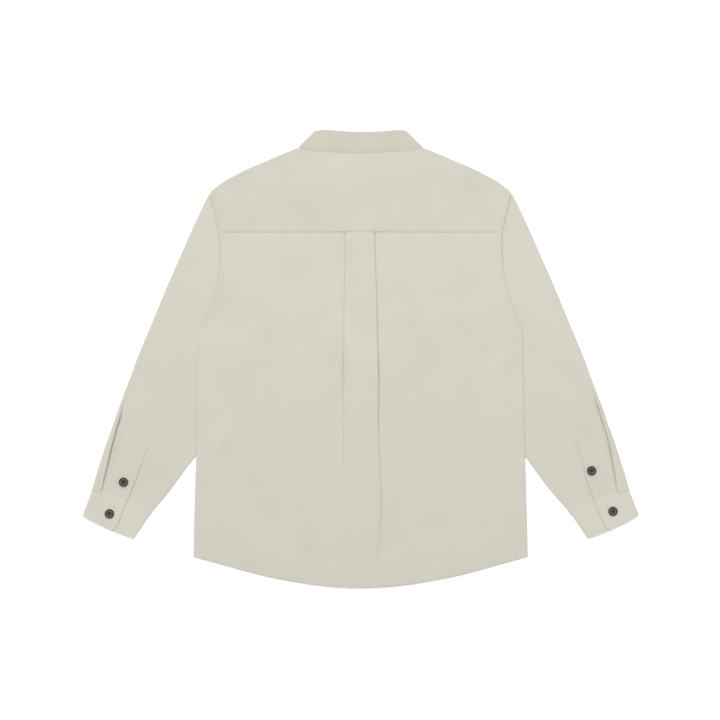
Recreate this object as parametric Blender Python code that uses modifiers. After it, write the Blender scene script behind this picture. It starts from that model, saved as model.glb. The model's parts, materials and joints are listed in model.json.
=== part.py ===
# Shirt jacket of woven cotton, laid flat on its front with its back up.
# Frame: X across the body, Y from hem to collar, Z up from the surface it lies on.
# Sizes are in millimetres and turned to metres when a mesh is made.
# Every cloth piece is a middle surface (rows of sections) given its wall by Solidify.
import math

import bpy
import numpy as np

MM = 0.001

# ---- cloth and layers ----
WALL = 1.1            # thickness of one cloth layer
CUFF_WALL = 1.5       # two layers of cloth with interlining
GAP = 0.3             # space left between pieces that touch
PITCH = WALL + GAP    # one cloth layer to the next
FRONT_Z = WALL / 2    # front panels rest on the surface
BACK_Z = FRONT_Z + PITCH

# ---- main sizes ----
YOKE_SEAM_Y = 217.0   # yoke seam on the back
YOKE_FRONT = 28.0     # how far the yoke comes over the shoulder to the front
UNDERARM_Y = 54.0     # foot of the armhole
TIP_Y = 280.5         # shoulder tip
HEM_SIDE_Y = -336.0   # hem at the side seams
HEM_BACK_Y = -387.0   # hem at centre back
HEM_FRONT_Y = -370.0  # hem at centre front
HEM_ROUND = 280.0     # roundness of the tail
HALF_HEM = 284.4      # half width at the hem
BAND_HALF = 17.5      # half width of the button band
COLLAR_LAP = 15.0     # how far each collar end passes the centre
BUTTON_D = 15.5
BUTTON_T = 2.4
FRONT_BUTTONS = 6
FRONT_BUTTON_TOP = 243.0
FRONT_BUTTON_STEP = 88.0
COLLAR_BUTTON_Y = 289.0

# ---- heights of the layers at centre front, above the buttons ----
BAND_Z = BUTTON_T + GAP + WALL / 2
LEFT_RISE = BAND_Z + PITCH - FRONT_Z
RIGHT_RISE = LEFT_RISE + PITCH
BACK_RISE = RIGHT_RISE + 0.3
COLLAR_LEFT_RISE = BAND_Z - FRONT_Z
COLLAR_RIGHT_RISE = COLLAR_LEFT_RISE + PITCH
SLEEVE_LIFT = BACK_Z + WALL / 2 + GAP + 0.3   # body side over the sleeve

# Half outline of the body, armhole and side seam: height, half width
BODY_SIDE = (
    (280.5, 256.0), (248.0, 247.4), (217.0, 239.2), (180.0, 236.7), (146.0, 238.2),
    (120.0, 242.4), (97.0, 250.0), (76.0, 260.0),
    (62.0, 267.5), (54.0, 272.0), (35.0, 275.0), (9.0, 277.0), (-34.0, 279.0),
    (-88.0, 279.0), (-164.0, 279.3), (-230.0, 281.8), (-336.0, 284.4))

# Shoulder line: distance from the centre, height
SHOULDER = (
    (104.0, 361.3), (117.0, 356.2), (142.0, 346.0), (165.7, 335.8), (189.9, 325.6),
    (210.0, 315.4), (229.1, 305.2), (242.6, 295.0), (254.3, 284.8), (257.5, 280.5))

# Back neck seam: distance from the centre, height
BACK_NECK = ((0.0, 352.5), (40.0, 353.3), (78.0, 356.2), (104.0, 361.3))

# Front neck seam and top edge of the collar in front:
# neck x, neck y, top x, top y
FRONT_NECK = (
    (104.0, 362.2, 76.0, 389.6), (102.6, 338.0, 69.0, 358.0), (98.0, 317.0, 61.0, 337.0),
    (88.0, 299.0, 52.0, 322.0), (70.0, 284.5, 40.0, 312.5), (57.0, 279.2, 33.0, 309.5),
    (45.0, 275.5, 26.0, 307.5),
    (20.0, 272.3, 12.0, 306.2), (0.0, 272.0, 0.0, 306.0))

# Top edge of the collar at the back: x, y
COLLAR_TOP = (
    (-76.0, 389.0), (-61.5, 390.5), (-30.0, 388.2), (0.0, 387.0), (34.0, 387.8),
    (68.0, 390.2), (76.0, 388.8))

# Box pleat of the back: height, then for each fold its edge, turn in degrees and return
PLEAT = (
    (217.0, -26.5, 180.0, 15.0, 22.8, 180.0, 15.0),
    (100.0, -27.2, 180.0, 11.0, 26.4, 180.0, 12.0),
    (0.0, -28.4, 180.0, 6.0, 29.6, 180.0, 9.0),
    (-70.0, -30.6, 168.0, 1.6, 32.0, 180.0, 5.0),
    (-150.0, -32.4, 110.0, 1.0, 34.7, 178.0, 2.0),
    (-240.0, -33.0, 62.0, 1.0, 33.2, 128.0, 1.0),
    (-320.0, -33.0, 38.0, 1.0, 28.0, 72.0, 1.0),
    (-390.0, -33.0, 24.0, 1.0, 25.0, 42.0, 1.0))
FOLD_LENGTH = 2.4     # cloth in each bend of a pleat

# Sleeve sections: outer edge x y, inner edge x y. The first ones end on the armhole.
HOLE_SECTIONS = 9
SLEEVE = (
    (258.8, 280.3, 247.8, 248.0),
    (269.6, 258.2, 239.6, 217.0),
    (284.3, 226.5, 237.0, 180.0),
    (298.6, 194.5, 238.5, 146.0),
    (309.2, 170.0, 242.7, 120.0),
    (321.3, 143.0, 250.3, 97.0),
    (331.5, 119.5, 260.3, 76.0),
    (339.5, 99.5, 267.8, 62.0),
    (346.9, 82.0, 272.8, 54.0),
    (355.1, 62.0, 276.8, 33.0),
    (365.6, 37.0, 272.0, 10.0),
    (379.2, 4.0, 256.0, -20.0),
    (390.5, -27.0, 241.0, -56.0),
    (401.5, -55.5, 238.5, -95.0),
    (411.2, -82.0, 252.0, -129.0),
    (420.8, -111.0, 275.5, -157.0),
    (431.9, -142.0, 303.0, -192.0),
    (442.9, -175.0, 331.0, -230.0),
    (450.9, -201.0, 348.5, -250.0),
    (455.9, -219.0, 357.0, -259.0))
SHARES = (0.3, 0.5, 0.7, 0.88)   # columns between the pleat and the inner edge
# Sleeve inner edge under the body: height, half width
TUCK = ((33.0, 276.8), (10.0, 272.0), (-20.0, 256.0), (-56.0, 241.0), (-95.0, 238.5),
        (-129.0, 252.0), (-157.0, 275.5), (-165.0, 281.5))

# Cuff corners: outer and inner, at the seam and at the hem
CUFF = {"seam": ((455.6, -219.0), (357.0, -259.0)), "hem": ((473.2, -266.0), (386.0, -304.8))}
CUFF_OVER = 61.5      # over end from the outer corner
CUFF_UNDER = 30.0     # under end from the outer corner
CUFF_BOW = {"left": 3.8, "right": 3.4}   # the hem bulges outward
PLACKET_W = 28.0
PLACKET_WALL = 1.0
CUFF_RISE = 0.9       # sleeve top rises to the cuff

# Sleeve pleat: height at the outer edge, strip width, turn in degrees, return
SLEEVE_PLEAT = {
    "left": ((-55.5, 4.0, 12.0, 0.6), (-82.0, 5.4, 90.0, 0.8), (-111.0, 7.3, 168.0, 2.0),
             (-142.0, 10.2, 180.0, 5.0), (-175.0, 13.8, 180.0, 8.5), (-219.0, 16.2, 180.0, 11.5)),
    "right": ((-27.0, 4.0, 12.0, 0.6), (-55.5, 5.6, 90.0, 0.8), (-82.0, 5.4, 150.0, 1.2),
              (-111.0, 6.8, 180.0, 3.5), (-142.0, 10.2, 180.0, 7.0), (-175.0, 15.2, 180.0, 10.5),
              (-219.0, 20.6, 180.0, 13.0))}

# Sleeve placket, the edge toward the body from its top to the cuff: x, y
PLACKET = {
    "left": ((361.4, -148.8), (367.5, -163.5), (372.6, -177.3), (378.2, -192.0), (383.0, -205.9),
             (393.0, -229.5), (397.3, -240.6)),
    "right": ((359.2, -127.8), (365.5, -141.0), (370.6, -153.9), (379.3, -181.6),
              (384.4, -204.2), (393.5, -229.0), (398.3, -240.2))}
PLACKET_BUTTON = {"left": (402.9, -208.4), "right": (392.5, -189.0)}
CUFF_BUTTON = {"left": (426.7, -262.0), "right": (428.7, -257.9)}

# Columns of the body: fixed distances near the centre, then shares of the rest
NEAR = (20.0, 32.0, 45.0, 57.0, 70.0, 88.0)
NECK_CORNER = 0.081
FRONT_SHARES = (0.0595, NECK_CORNER, 0.2, 0.32, 0.48, 0.64, 0.8, 0.91, 1.0)
BACK_SHARES = (0.2, 0.4, 0.64, 0.8, 0.91, 1.0)
SIDE_ROWS_BACK = (216.7, 180.0, 146.0, 120.0, 97.0, 76.0, 62.0, 54.0, 34.0, 14.0, -14.0,
                  -56.0, -100.0, -138.0, -166.0, -192.0, -218.0, -277.0, -336.0)


def ease(a, b, x):
    t = np.clip((x - a) / (b - a), 0.0, 1.0)
    return t * t * (3.0 - 2.0 * t)


def through(rows, key, value, at):
    """Smooth curve through two columns of a table."""
    k = np.array([r[key] for r in rows], float)
    v = np.array([r[value] for r in rows], float)
    if k[0] > k[-1]:
        k, v = k[::-1], v[::-1]
    step = np.diff(v) / np.diff(k)
    slope = np.concatenate([[step[0]], (step[1:] + step[:-1]) / 2, [step[-1]]])
    flat = step[1:] * step[:-1] <= 0
    slope[1:-1][flat] = 0.0
    at = np.clip(at, k[0], k[-1])
    i = np.clip(np.searchsorted(k, at) - 1, 0, len(k) - 2)
    h = k[i + 1] - k[i]
    t = (at - k[i]) / h
    return ((2 * t**3 - 3 * t**2 + 1) * v[i] + (t**3 - 2 * t**2 + t) * h * slope[i]
            + (3 * t**2 - 2 * t**3) * v[i + 1] + (t**3 - t**2) * h * slope[i + 1])


def half_width(y):
    return float(through(BODY_SIDE, 0, 1, y))


def shoulder_y(x):
    return float(through(SHOULDER, 0, 1, abs(x)))


def back_hem(x):
    rise = (HEM_SIDE_Y - HEM_BACK_Y) / (math.hypot(HALF_HEM, HEM_ROUND) - HEM_ROUND)
    return HEM_BACK_Y + rise * (math.hypot(x, HEM_ROUND) - HEM_ROUND)


def front_hem(x):
    rise = (HEM_SIDE_Y - HEM_FRONT_Y) / (math.hypot(HALF_HEM, HEM_ROUND) - HEM_ROUND)
    return HEM_FRONT_Y + rise * (math.hypot(x, HEM_ROUND) - HEM_ROUND)


def back_level(x, side_y):
    """Height at x of the row that meets the side seam at side_y."""
    top = YOKE_SEAM_Y - GAP
    return top + (top - side_y) / (top - HEM_SIDE_Y) * (back_hem(x) - top)


def centre(x, reach=62.0):
    """One over the button band, falling to nothing beside it."""
    return 1.0 - ease(20.0, reach, abs(x))


def lift(x, y):
    """How far the body side is raised by the sleeve tucked under it."""
    edge = float(np.interp(-y, [-r[0] for r in TUCK], [r[1] for r in TUCK]))
    along = ease(-55.0, -34.0, -y) * (1.0 - ease(180.0, 224.0, -y))
    return SLEEVE_LIFT * along * ease(edge - 50.0, edge - 22.0, abs(x))


def back_z(x, y):
    fall = 1.0 - 0.5 * ease(290.0, 355.0, y) - 0.25 * ease(355.0, 390.0, y)
    return BACK_Z + BACK_RISE * centre(x, 68.0) * fall + lift(x, y)


def fold(turn, back, length=FOLD_LENGTH, parts=3):
    """Section of one pleat fold: points from the strip out, down, back and out again."""
    a = math.radians(max(turn, 4.0))
    r = length / a
    out = [(r * math.sin(a * k / parts), -r * (1 - math.cos(a * k / parts)))
           for k in range(1, parts + 1)]
    x, z = out[-1]
    x, z = x + back * math.cos(a), z - back * math.sin(a)
    out.append((x, z))
    for k in range(1, parts + 1):
        b = a * (1 - k / parts)
        out.append((x + r * (math.sin(a) - math.sin(b)), z - r * (math.cos(b) - math.cos(a))))
    return out


def material(name, colour, rough):
    m = bpy.data.materials.new(name)
    m.use_nodes = True
    s = m.node_tree.nodes["Principled BSDF"]
    s.inputs["Base Color"].default_value = (*colour, 1.0)
    s.inputs["Roughness"].default_value = rough
    return m


def sheet(name, rows, wall=WALL, ring=False, keep=None):
    """A cloth piece: rows of points of its middle surface, given its wall."""
    n, m = len(rows), len(rows[0])
    verts, index = [], {}
    faces = []
    for i in range(n - 1):
        for j in range(m if ring else m - 1):
            k = (j + 1) % m
            if keep and not keep(i, j):
                continue
            face = []
            for p in ((i, j), (i, k), (i + 1, k), (i + 1, j)):
                if p not in index:
                    index[p] = len(verts)
                    verts.append([c * MM for c in rows[p[0]][p[1]]])
                face.append(index[p])
            faces.append(face)
    mesh = bpy.data.meshes.new(name)
    mesh.from_pydata(verts, [], faces)
    mesh.materials.append(material(name + "_cloth", CLOTH, 0.9))
    o = bpy.data.objects.new(name, mesh)
    PARTS.objects.link(o)
    s = o.modifiers.new("wall", "SOLIDIFY")
    s.thickness = wall * MM
    s.offset = 0.0
    s.use_even_offset = True
    return o


def button(name, x, y, z, face_up=True):
    """A turned button: rim, dished face and rounded back."""
    r, t = BUTTON_D / 2, BUTTON_T
    profile = [(0.0, 0.0), (r - 1.2, 0.0), (r, 1.0), (r - 0.4, t), (r - 1.8, t),
               (r - 2.9, t - 0.7), (0.0, t - 0.7)]
    n = 14
    verts = [(0.0, 0.0, 0.0)]
    for a, b in profile[1:-1]:
        verts += [(a * math.cos(2 * math.pi * k / n), a * math.sin(2 * math.pi * k / n), b)
                  for k in range(n)]
    verts.append((0.0, 0.0, profile[-1][1]))
    faces = [[0, 1 + (k + 1) % n, 1 + k] for k in range(n)]
    for ring in range(len(profile) - 3):
        a = 1 + ring * n
        faces += [[a + k, a + (k + 1) % n, a + n + (k + 1) % n, a + n + k] for k in range(n)]
    a = 1 + (len(profile) - 3) * n
    faces += [[a + k, a + (k + 1) % n, len(verts) - 1] for k in range(n)]
    s = 1 if face_up else -1
    verts = [((x + vx) * MM, (y + s * vy) * MM, (z + (vz if face_up else t - vz)) * MM)
             for vx, vy, vz in verts]
    mesh = bpy.data.meshes.new(name)
    mesh.from_pydata(verts, [], faces)
    mesh.materials.append(material(name + "_resin", (0.02, 0.02, 0.022), 0.35))
    o = bpy.data.objects.new(name, mesh)
    PARTS.objects.link(o)
    return o


for old in list(bpy.data.objects):
    bpy.data.objects.remove(old, do_unlink=True)
PARTS = bpy.data.collections.new("shirt_jacket")
bpy.context.scene.collection.children.link(PARTS)
CLOTH = (0.66, 0.63, 0.55)

# ---- back panel with the box pleat ----
rows = []
for side_y in SIDE_ROWS_BACK:
    halves = {}
    for side, first in ((-1, 1), (1, 4)):
        y = back_level(30.0, side_y)
        edge = abs(float(through(PLEAT, 0, first, y))) - 1.2
        turn = float(np.interp(-y, [-r[0] for r in PLEAT], [r[first + 1] for r in PLEAT]))
        back = float(np.interp(-y, [-r[0] for r in PLEAT], [r[first + 2] for r in PLEAT]))
        section = fold(turn, back)
        height = -section[-1][1]
        xs = [(edge * f, height) for f in (0.0, 0.5, 1.0)]
        xs += [(edge + a, height + b) for a, b in section]
        inner = xs[-1][0]
        xs += [(inner + (NEAR[-1] - inner) * f, 0.0) for f in (0.17, 0.34, 0.52, 0.74, 1.0)]
        points = []
        for x, dz in xs:
            y = back_level(x, side_y)
            points.append((side * x, y, back_z(x, y) + dz))
        for f in BACK_SHARES:
            y = back_level(NEAR[-1] + f * (HALF_HEM - NEAR[-1]), side_y)
            x = NEAR[-1] + f * (half_width(y) - NEAR[-1])
            points.append((side * x, y, back_z(x, y)))
        halves[side] = points
    left, right = halves[-1][0], halves[1][0]
    top = (0.0, right[1], (right[2] + left[2]) / 2)
    rows.append(halves[-1][:0:-1] + [top] + halves[1][1:])
sheet("back", rows)

# ---- yoke: back part, over the shoulders, front part ----
YOKE_ROWS = (0.0, 0.25, 0.5, 0.75, 1.0)
YOKE_COLS = (0.0, 12.0, 24.0, 36.0, 48.0, 60.0, 76.0, 90.0, 104.3, 121.0, 141.0, 168.0, 195.0, 222.0,
             241.0, 255.2)
FOLD_R = PITCH / 2


def yoke_line(x):
    """Foot and head of one column of the yoke."""
    foot = (x / 255.2 * 239.0, YOKE_SEAM_Y)
    neck = x < 104.0
    head = (x, float(through(BACK_NECK, 0, 1, x)) if neck else shoulder_y(x) - WALL / 2 - FOLD_R)
    return foot, head


def flap_end(x):
    foot, head = yoke_line(x)
    k = YOKE_FRONT / (head[1] - foot[1])
    return head[0] + (foot[0] - head[0]) * k, head[1] - YOKE_FRONT


def yoke_column(x, side):
    foot, head = yoke_line(x)
    points = []
    for f in YOKE_ROWS:
        px, py = foot[0] + (head[0] - foot[0]) * f, foot[1] + (head[1] - foot[1]) * f
        bump = (1 - ease(20.0, 40.0, abs(side * px + 2.0))) * (1 - ease(217.0, 262.0, py))
        points.append((side * px, py, back_z(px, py) + 2 * FOLD_R * 2 * bump))
    for k in (1, 2):
        a = math.pi * k / 3
        points.append((side * head[0], head[1] + FOLD_R * math.sin(a),
                       FRONT_Z + FOLD_R + FOLD_R * math.cos(a)))
    for f in (0.0, 0.5, 1.0):
        ex, ey = flap_end(x)
        points.append((side * (head[0] + (ex - head[0]) * f), head[1] + (ey - head[1]) * f,
                       FRONT_Z))
    return points


columns = [yoke_column(x, -1) for x in YOKE_COLS[:0:-1]] + [yoke_column(x, 1) for x in YOKE_COLS]
rows = [[c[i] for c in columns] for i in range(len(columns[0]))]
neck_cols = [j for j in range(len(columns) - 1)
             if max(abs(columns[j][4][0]), abs(columns[j + 1][4][0])) < 104.4]
sheet("yoke", rows, keep=lambda i, j: i < len(YOKE_ROWS) - 1 or j not in neck_cols)

# ---- front panels ----
FLAP = sorted(flap_end(x) for x in YOKE_COLS if x > 104.0)


def front_top(x):
    x = abs(x)
    if x < 101.5:
        return float(np.interp(x, [r[0] for r in FRONT_NECK][::-1],
                               [r[1] for r in FRONT_NECK][::-1])) - 0.6
    return float(np.interp(x, [p[0] for p in FLAP], [p[1] for p in FLAP])) - 2 * GAP


def front_panel(name, side, rise):
    cols = [("near", x) for x in (-BAND_HALF, 0.0, BAND_HALF) + NEAR[1:]]
    cols += [("share", f) for f in FRONT_SHARES]
    columns = []
    for kind, value in cols:
        points = []
        head = 290.0
        for _ in range(40):
            x = value if kind == "near" else NEAR[-1] + value * (half_width(head) - NEAR[-1])
            neck = value == NECK_CORNER
            head = FLAP[0][1] - 2 * GAP if neck else 0.5 * head + 0.5 * front_top(x)
        guess = value if kind == "near" else NEAR[-1] + value * (HALF_HEM - NEAR[-1])
        levels = [head] + [back_level(guess, side_y) for side_y in SIDE_ROWS_BACK]
        low = levels[-3]
        levels[-2:] = [low + (front_hem(guess) - low) * f for f in (0.5, 1.0)]
        for y in levels:
            x = value if kind == "near" else NEAR[-1] + value * (half_width(y) - NEAR[-1])
            points.append((side * x, y, FRONT_Z + rise * centre(x) + lift(x, y)))
        columns.append(points)
    columns = columns[::side]
    rows = [[c[i] for c in columns] for i in range(len(columns[0]))]
    return sheet(name, rows)


front_panel("front_left", -1, LEFT_RISE)
front_panel("front_right", 1, RIGHT_RISE)

# ---- button band on the left front ----
rows = []
for k in range(13):
    y = 271.0 + (front_hem(0.0) + 0.2 - 271.0) * k / 12
    rows.append([(x, y, BAND_Z) for x in (-BAND_HALF, 0.0, BAND_HALF)])
sheet("front_band", rows)

# ---- collar band: one strip round the neck, its ends lapped at centre front ----
COLLAR_ROWS = (0.0, 0.33, 0.67, 1.0)
COLLAR_IN = WALL / 2 + FOLD_R   # middle of the cloth inside the fold


def collar_front(side, rise, lap):
    """Columns from the lapped end at centre front to the shoulder."""
    out = []
    for x0 in (-lap, 0.0):
        out.append([(side * x0, 272.0 + (306.0 - 272.0) * f, FRONT_Z + rise) for f in COLLAR_ROWS])
    for nx, ny, tx, ty in FRONT_NECK[-2::-1]:
        column = []
        for f in COLLAR_ROWS:
            x, y = nx + (tx - nx) * f, ny + (ty - ny) * f
            if nx == 104.0:
                x, y = x - COLLAR_IN * 0.70, y - COLLAR_IN * 0.714
            column.append((side * x, y, FRONT_Z + rise * centre(x)))
        out.append(column)
    return out


def collar_fold(side):
    """Columns of the fold at the side of the neck, front to back."""
    (nx, ny, tx, ty), out = FRONT_NECK[0], []
    for k in (1, 2):
        a = math.pi * k / 3
        push = FOLD_R * math.sin(a) - COLLAR_IN
        out.append([(side * (nx + (tx - nx) * f + push * 0.70), ny + (ty - ny) * f + push * 0.714,
                     FRONT_Z + FOLD_R - FOLD_R * math.cos(a)) for f in COLLAR_ROWS])
    return out


def collar_back(x0, x1):
    column = []
    y0 = float(through(BACK_NECK, 0, 1, abs(x0))) + GAP
    y1 = float(through(COLLAR_TOP, 0, 1, x1)) - (0.4 if abs(x1) > 75.0 else 0.0)
    for f in COLLAR_ROWS:
        x, y = x0 + (x1 - x0) * f, y0 + (y1 - y0) * f
        column.append((x, y, back_z(x, y)))
    return column


backs = [collar_back(s * 103.1, s * 75.2)
         for s in (-1.0, -0.86, -0.7, -0.52, -0.35, -0.17, 0.0, 0.17, 0.35, 0.52, 0.7, 0.86, 1.0)]
columns = (collar_front(-1, COLLAR_LEFT_RISE, COLLAR_LAP) + collar_fold(-1) + backs
           + collar_fold(1)[::-1] + collar_front(1, COLLAR_RIGHT_RISE, COLLAR_LAP)[::-1])
rows = [[c[i] for c in columns] for i in range(len(COLLAR_ROWS))]
sheet("collar", rows)


# ---- sleeves: flattened tubes with a knife pleat at the cuff ----
def seam_distance(x, y):
    """Distance of a point of the sleeve above the cuff seam."""
    (ax, ay), (bx, by) = CUFF["seam"]
    w = math.hypot(bx - ax, by - ay)
    return ((x - ax) * (by - ay) - (y - ay) * (bx - ax)) / w


def sleeve_top_z(x, y):
    return BACK_Z + CUFF_RISE * (1.0 - ease(2.0, 42.0, seam_distance(x, y)))


def edge_normal(i, first):
    """Direction out of the sleeve at one end of section i."""
    a = SLEEVE[max(i - 1, HOLE_SECTIONS - 1 if first else 0)]
    b = SLEEVE[min(i + 1, len(SLEEVE) - 1)]
    dx, dy = b[first] - a[first], b[first + 1] - a[first + 1]
    w = math.hypot(dx, dy) * (-1 if first else 1)
    return -dy / w, dx / w


def sleeve(name, side, key):
    pleat = SLEEVE_PLEAT[key]
    rows = []
    for i, (ox, oy, ix, iy) in enumerate(SLEEVE):
        width = math.hypot(ix - ox, iy - oy)
        ux, uy = (ix - ox) / width, (iy - oy) / width
        strip, turn, back = (float(np.interp(-oy, [-r[0] for r in pleat], [r[c] for r in pleat]))
                             for c in (1, 2, 3))
        section = fold(turn, back)
        height = -section[-1][1]
        open_end = i < HOLE_SECTIONS - 1
        out_n, in_n = edge_normal(i, 0), (0.0, 0.0) if open_end else edge_normal(i, 2)
        top_r = (sleeve_top_z(ox, oy) + height - FRONT_Z) / 2
        end_r = (sleeve_top_z(ix, iy) - FRONT_Z) / 2

        def place(d, z, top=True):
            x, y = ox + ux * d, oy + uy * d
            return (side * x, y, z + (sleeve_top_z(x, y) if top else 0.0))

        def bend(x, y, normal, radius, push, z):
            k = push - WALL / 2 - radius
            return (side * (x + normal[0] * k), y + normal[1] * k, z)

        start = WALL / 2 + top_r
        edge = max(strip, start + 1.5)
        ring = [bend(ox, oy, out_n, top_r, 0.0, FRONT_Z + 2 * top_r)]
        ring += [place((start + edge) / 2, height), place(edge, height)]
        ring += [place(edge + a, height + b) for a, b in section]
        inner = edge + section[-1][0]
        stop = width - (0.0 if open_end else WALL / 2 + end_r)
        ring += [place(inner + (stop - inner) * f, 0.0) for f in SHARES]
        ring.append(bend(ix, iy, in_n, end_r, 0.0, FRONT_Z + 2 * end_r))
        for k in (1, 2):
            a = math.pi * k / 3
            z = FRONT_Z + end_r + end_r * math.cos(a)
            ring.append(bend(ix, iy, in_n, end_r, end_r * math.sin(a), z))
        ring.append(bend(ix, iy, in_n, end_r, 0.0, FRONT_Z))
        ring += [place(start + (stop - start) * f, FRONT_Z, False) for f in SHARES[::-1]]
        ring.append(bend(ox, oy, out_n, top_r, 0.0, FRONT_Z))
        for k in (1, 2):
            a = math.pi * k / 3
            z = FRONT_Z + top_r - top_r * math.cos(a)
            ring.append(bend(ox, oy, out_n, top_r, top_r * math.sin(a), z))
        rows.append(ring)
    hole = 10 + len(SHARES)
    return sheet(name, rows, ring=True,
                 keep=lambda i, j: i >= HOLE_SECTIONS - 1 or not hole <= j < hole + 3)


sleeve("sleeve_left", -1, "left")
sleeve("sleeve_right", 1, "right")


# ---- cuffs: one strip each, the over end lapped on the under end ----
def cuff_point(d, v, key):
    """Point of the cuff: distance from its outer edge, share from seam to hem."""
    (ax, ay), (bx, by) = CUFF["seam"]
    (cx, cy), (ex, ey) = CUFF["hem"]
    sx, sy, tx, ty = ax + (cx - ax) * v, ay + (cy - ay) * v, bx + (ex - bx) * v, by + (ey - by) * v
    w = math.hypot(tx - sx, ty - sy)
    f = d / w
    bow = CUFF_BOW[key] * 4.0 * f * (1 - f) * v
    ux, uy = (tx - sx) / w, (ty - sy) / w
    return sx + ux * d - uy * bow, sy + uy * d + ux * bow, w


def cuff(name, side, key):
    low = CUFF_WALL / 2
    mid = low + CUFF_WALL + GAP
    high = mid + CUFF_WALL + GAP
    outer_r, inner_r = (high - low) / 2, (mid - low) / 2
    rows = []
    for v, trim in ((0.016, 0.0), (0.3, 0.0), (0.58, 0.0), (0.8, 0.6), (0.93, 2.8), (1.0, 7.6)):
        w = cuff_point(0.0, v, key)[2]
        start, stop = low + outer_r, w - low - inner_r
        path = [(CUFF_OVER - trim, high), (46.0, high), (30.0, high), (15.0, high), (start, high)]
        path += [(start - outer_r * math.sin(math.pi * k / 4),
                  low + outer_r + outer_r * math.cos(math.pi * k / 4)) for k in (1, 2, 3)]
        path += [(start, low), (w * 0.25, low), (w * 0.5, low), (w * 0.75, low), (stop, low)]
        path += [(stop + inner_r * math.sin(math.pi * k / 3),
                  low + inner_r - inner_r * math.cos(math.pi * k / 3)) for k in (1, 2)]
        path += [(stop, mid), (w * 0.75, mid), (w * 0.5, mid), (CUFF_UNDER + trim * 0.6, mid)]
        row = []
        for d, z in path:
            x, y, _ = cuff_point(d, v, key)
            row.append((side * x, y, z))
        rows.append(row)
    return sheet(name, rows, wall=CUFF_WALL)


cuff("cuff_left", -1, "left")
cuff("cuff_right", 1, "right")


# ---- sleeve plackets, laid on the sleeves ----
def placket(name, side, key):
    edge = PLACKET[key]
    rows = []
    for k, (x, y) in enumerate(edge):
        a, b = edge[max(k - 1, 0)], edge[min(k + 1, len(edge) - 1)]
        w = math.hypot(b[0] - a[0], b[1] - a[1])
        nx, ny = -(b[1] - a[1]) / w, (b[0] - a[0]) / w
        row = []
        for f in (0.0, 0.5, 1.0):
            px, py = x + nx * PLACKET_W * f, y + ny * PLACKET_W * f
            z = sleeve_top_z(px, py) + WALL / 2 + GAP + PLACKET_WALL / 2
            row.append((side * px, py, z))
        rows.append(row)
    return sheet(name, rows, wall=PLACKET_WALL)


placket("placket_left", -1, "left")
placket("placket_right", 1, "right")

# ---- buttons ----
for k in range(FRONT_BUTTONS):
    button("front_button_%d" % (k + 1), 0.0, FRONT_BUTTON_TOP - k * FRONT_BUTTON_STEP, 0.0, False)
button("collar_button", 0.0, COLLAR_BUTTON_Y, 0.0, False)
for side, key in ((-1, "left"), (1, "right")):
    x, y = PLACKET_BUTTON[key]
    z = sleeve_top_z(x, y) + WALL / 2 + GAP + PLACKET_WALL + 2 * GAP
    button("placket_button_" + key, side * x, y, z)
    x, y = CUFF_BUTTON[key]
    button("cuff_button_" + key, side * x, y, 3 * CUFF_WALL + 3 * GAP)
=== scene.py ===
# %% [markdown]
# # A shirt jacket laid flat
# The jacket is sewn from one pale woven cotton. It lies on its front, with its back up
# and its sleeves spread beside it. Every piece is a thin sheet: a grid of points that is
# moved into the shape of the cut piece, then given the thickness of the cloth.
# All sizes are in millimetres. X runs across the body, Y from hem to collar and Z up.

# %% The frame, the tools and the units
import json
import math

import bpy
import numpy as np
from mathutils import Matrix, Vector
from mathutils.bvhtree import BVHTree

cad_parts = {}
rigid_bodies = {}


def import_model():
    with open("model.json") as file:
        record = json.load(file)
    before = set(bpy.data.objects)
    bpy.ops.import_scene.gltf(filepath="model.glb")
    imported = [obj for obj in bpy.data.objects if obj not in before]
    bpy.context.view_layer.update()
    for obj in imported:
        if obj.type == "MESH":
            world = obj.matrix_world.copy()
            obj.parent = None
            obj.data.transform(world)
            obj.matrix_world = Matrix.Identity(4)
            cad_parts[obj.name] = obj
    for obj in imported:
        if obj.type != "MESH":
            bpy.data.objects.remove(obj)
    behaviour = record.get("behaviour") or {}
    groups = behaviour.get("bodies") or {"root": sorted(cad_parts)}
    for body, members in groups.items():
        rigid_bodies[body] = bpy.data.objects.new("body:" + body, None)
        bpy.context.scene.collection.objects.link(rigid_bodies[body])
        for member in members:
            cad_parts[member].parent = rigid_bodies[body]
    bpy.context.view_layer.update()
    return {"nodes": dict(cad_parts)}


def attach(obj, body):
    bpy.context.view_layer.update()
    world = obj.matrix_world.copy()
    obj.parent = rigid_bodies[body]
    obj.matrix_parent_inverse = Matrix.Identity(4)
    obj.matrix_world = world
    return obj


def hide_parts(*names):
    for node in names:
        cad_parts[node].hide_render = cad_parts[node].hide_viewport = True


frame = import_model()
MM = 0.001
print("CAD nodes:", len(frame["nodes"]))

# %% [markdown]
# ## Cloth and layers
# The cloth is about 0.7 mm thick with its nap. The layers of a garment that lies flat
# stack up, so each kind of layer gets its own height for its middle surface.

# %% Heights and main sizes
CLOTH = 0.7           # thickness of one layer of cloth
FRONT_Z = 0.52        # front panels, on the surface
BACK_Z = 2.05         # back panel and upper side of the sleeves
LAP = 8.0             # how far a piece runs on under the seam of its neighbour
YOKE_SEAM_Y = 217.0
YOKE_FRONT = 28.0
HEM_SIDE_Y = -336.0
HEM_BACK_Y = -387.0
HEM_FRONT_Y = -370.0
HEM_ROUND = 280.0
HALF_HEM = 284.4
BAND_HALF = 17.5
COLLAR_LAP = 15.0
BUTTON_D = 15.5
BUTTON_T = 2.4
BAND_Z = 2.85
LEFT_Z = 3.65         # left front over the buttons
RIGHT_Z = 4.45
BACK_RISE = 3.4       # back over the buttons and both fronts
SLEEVE_LIFT = 2.4     # body side over the tucked sleeve

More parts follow.
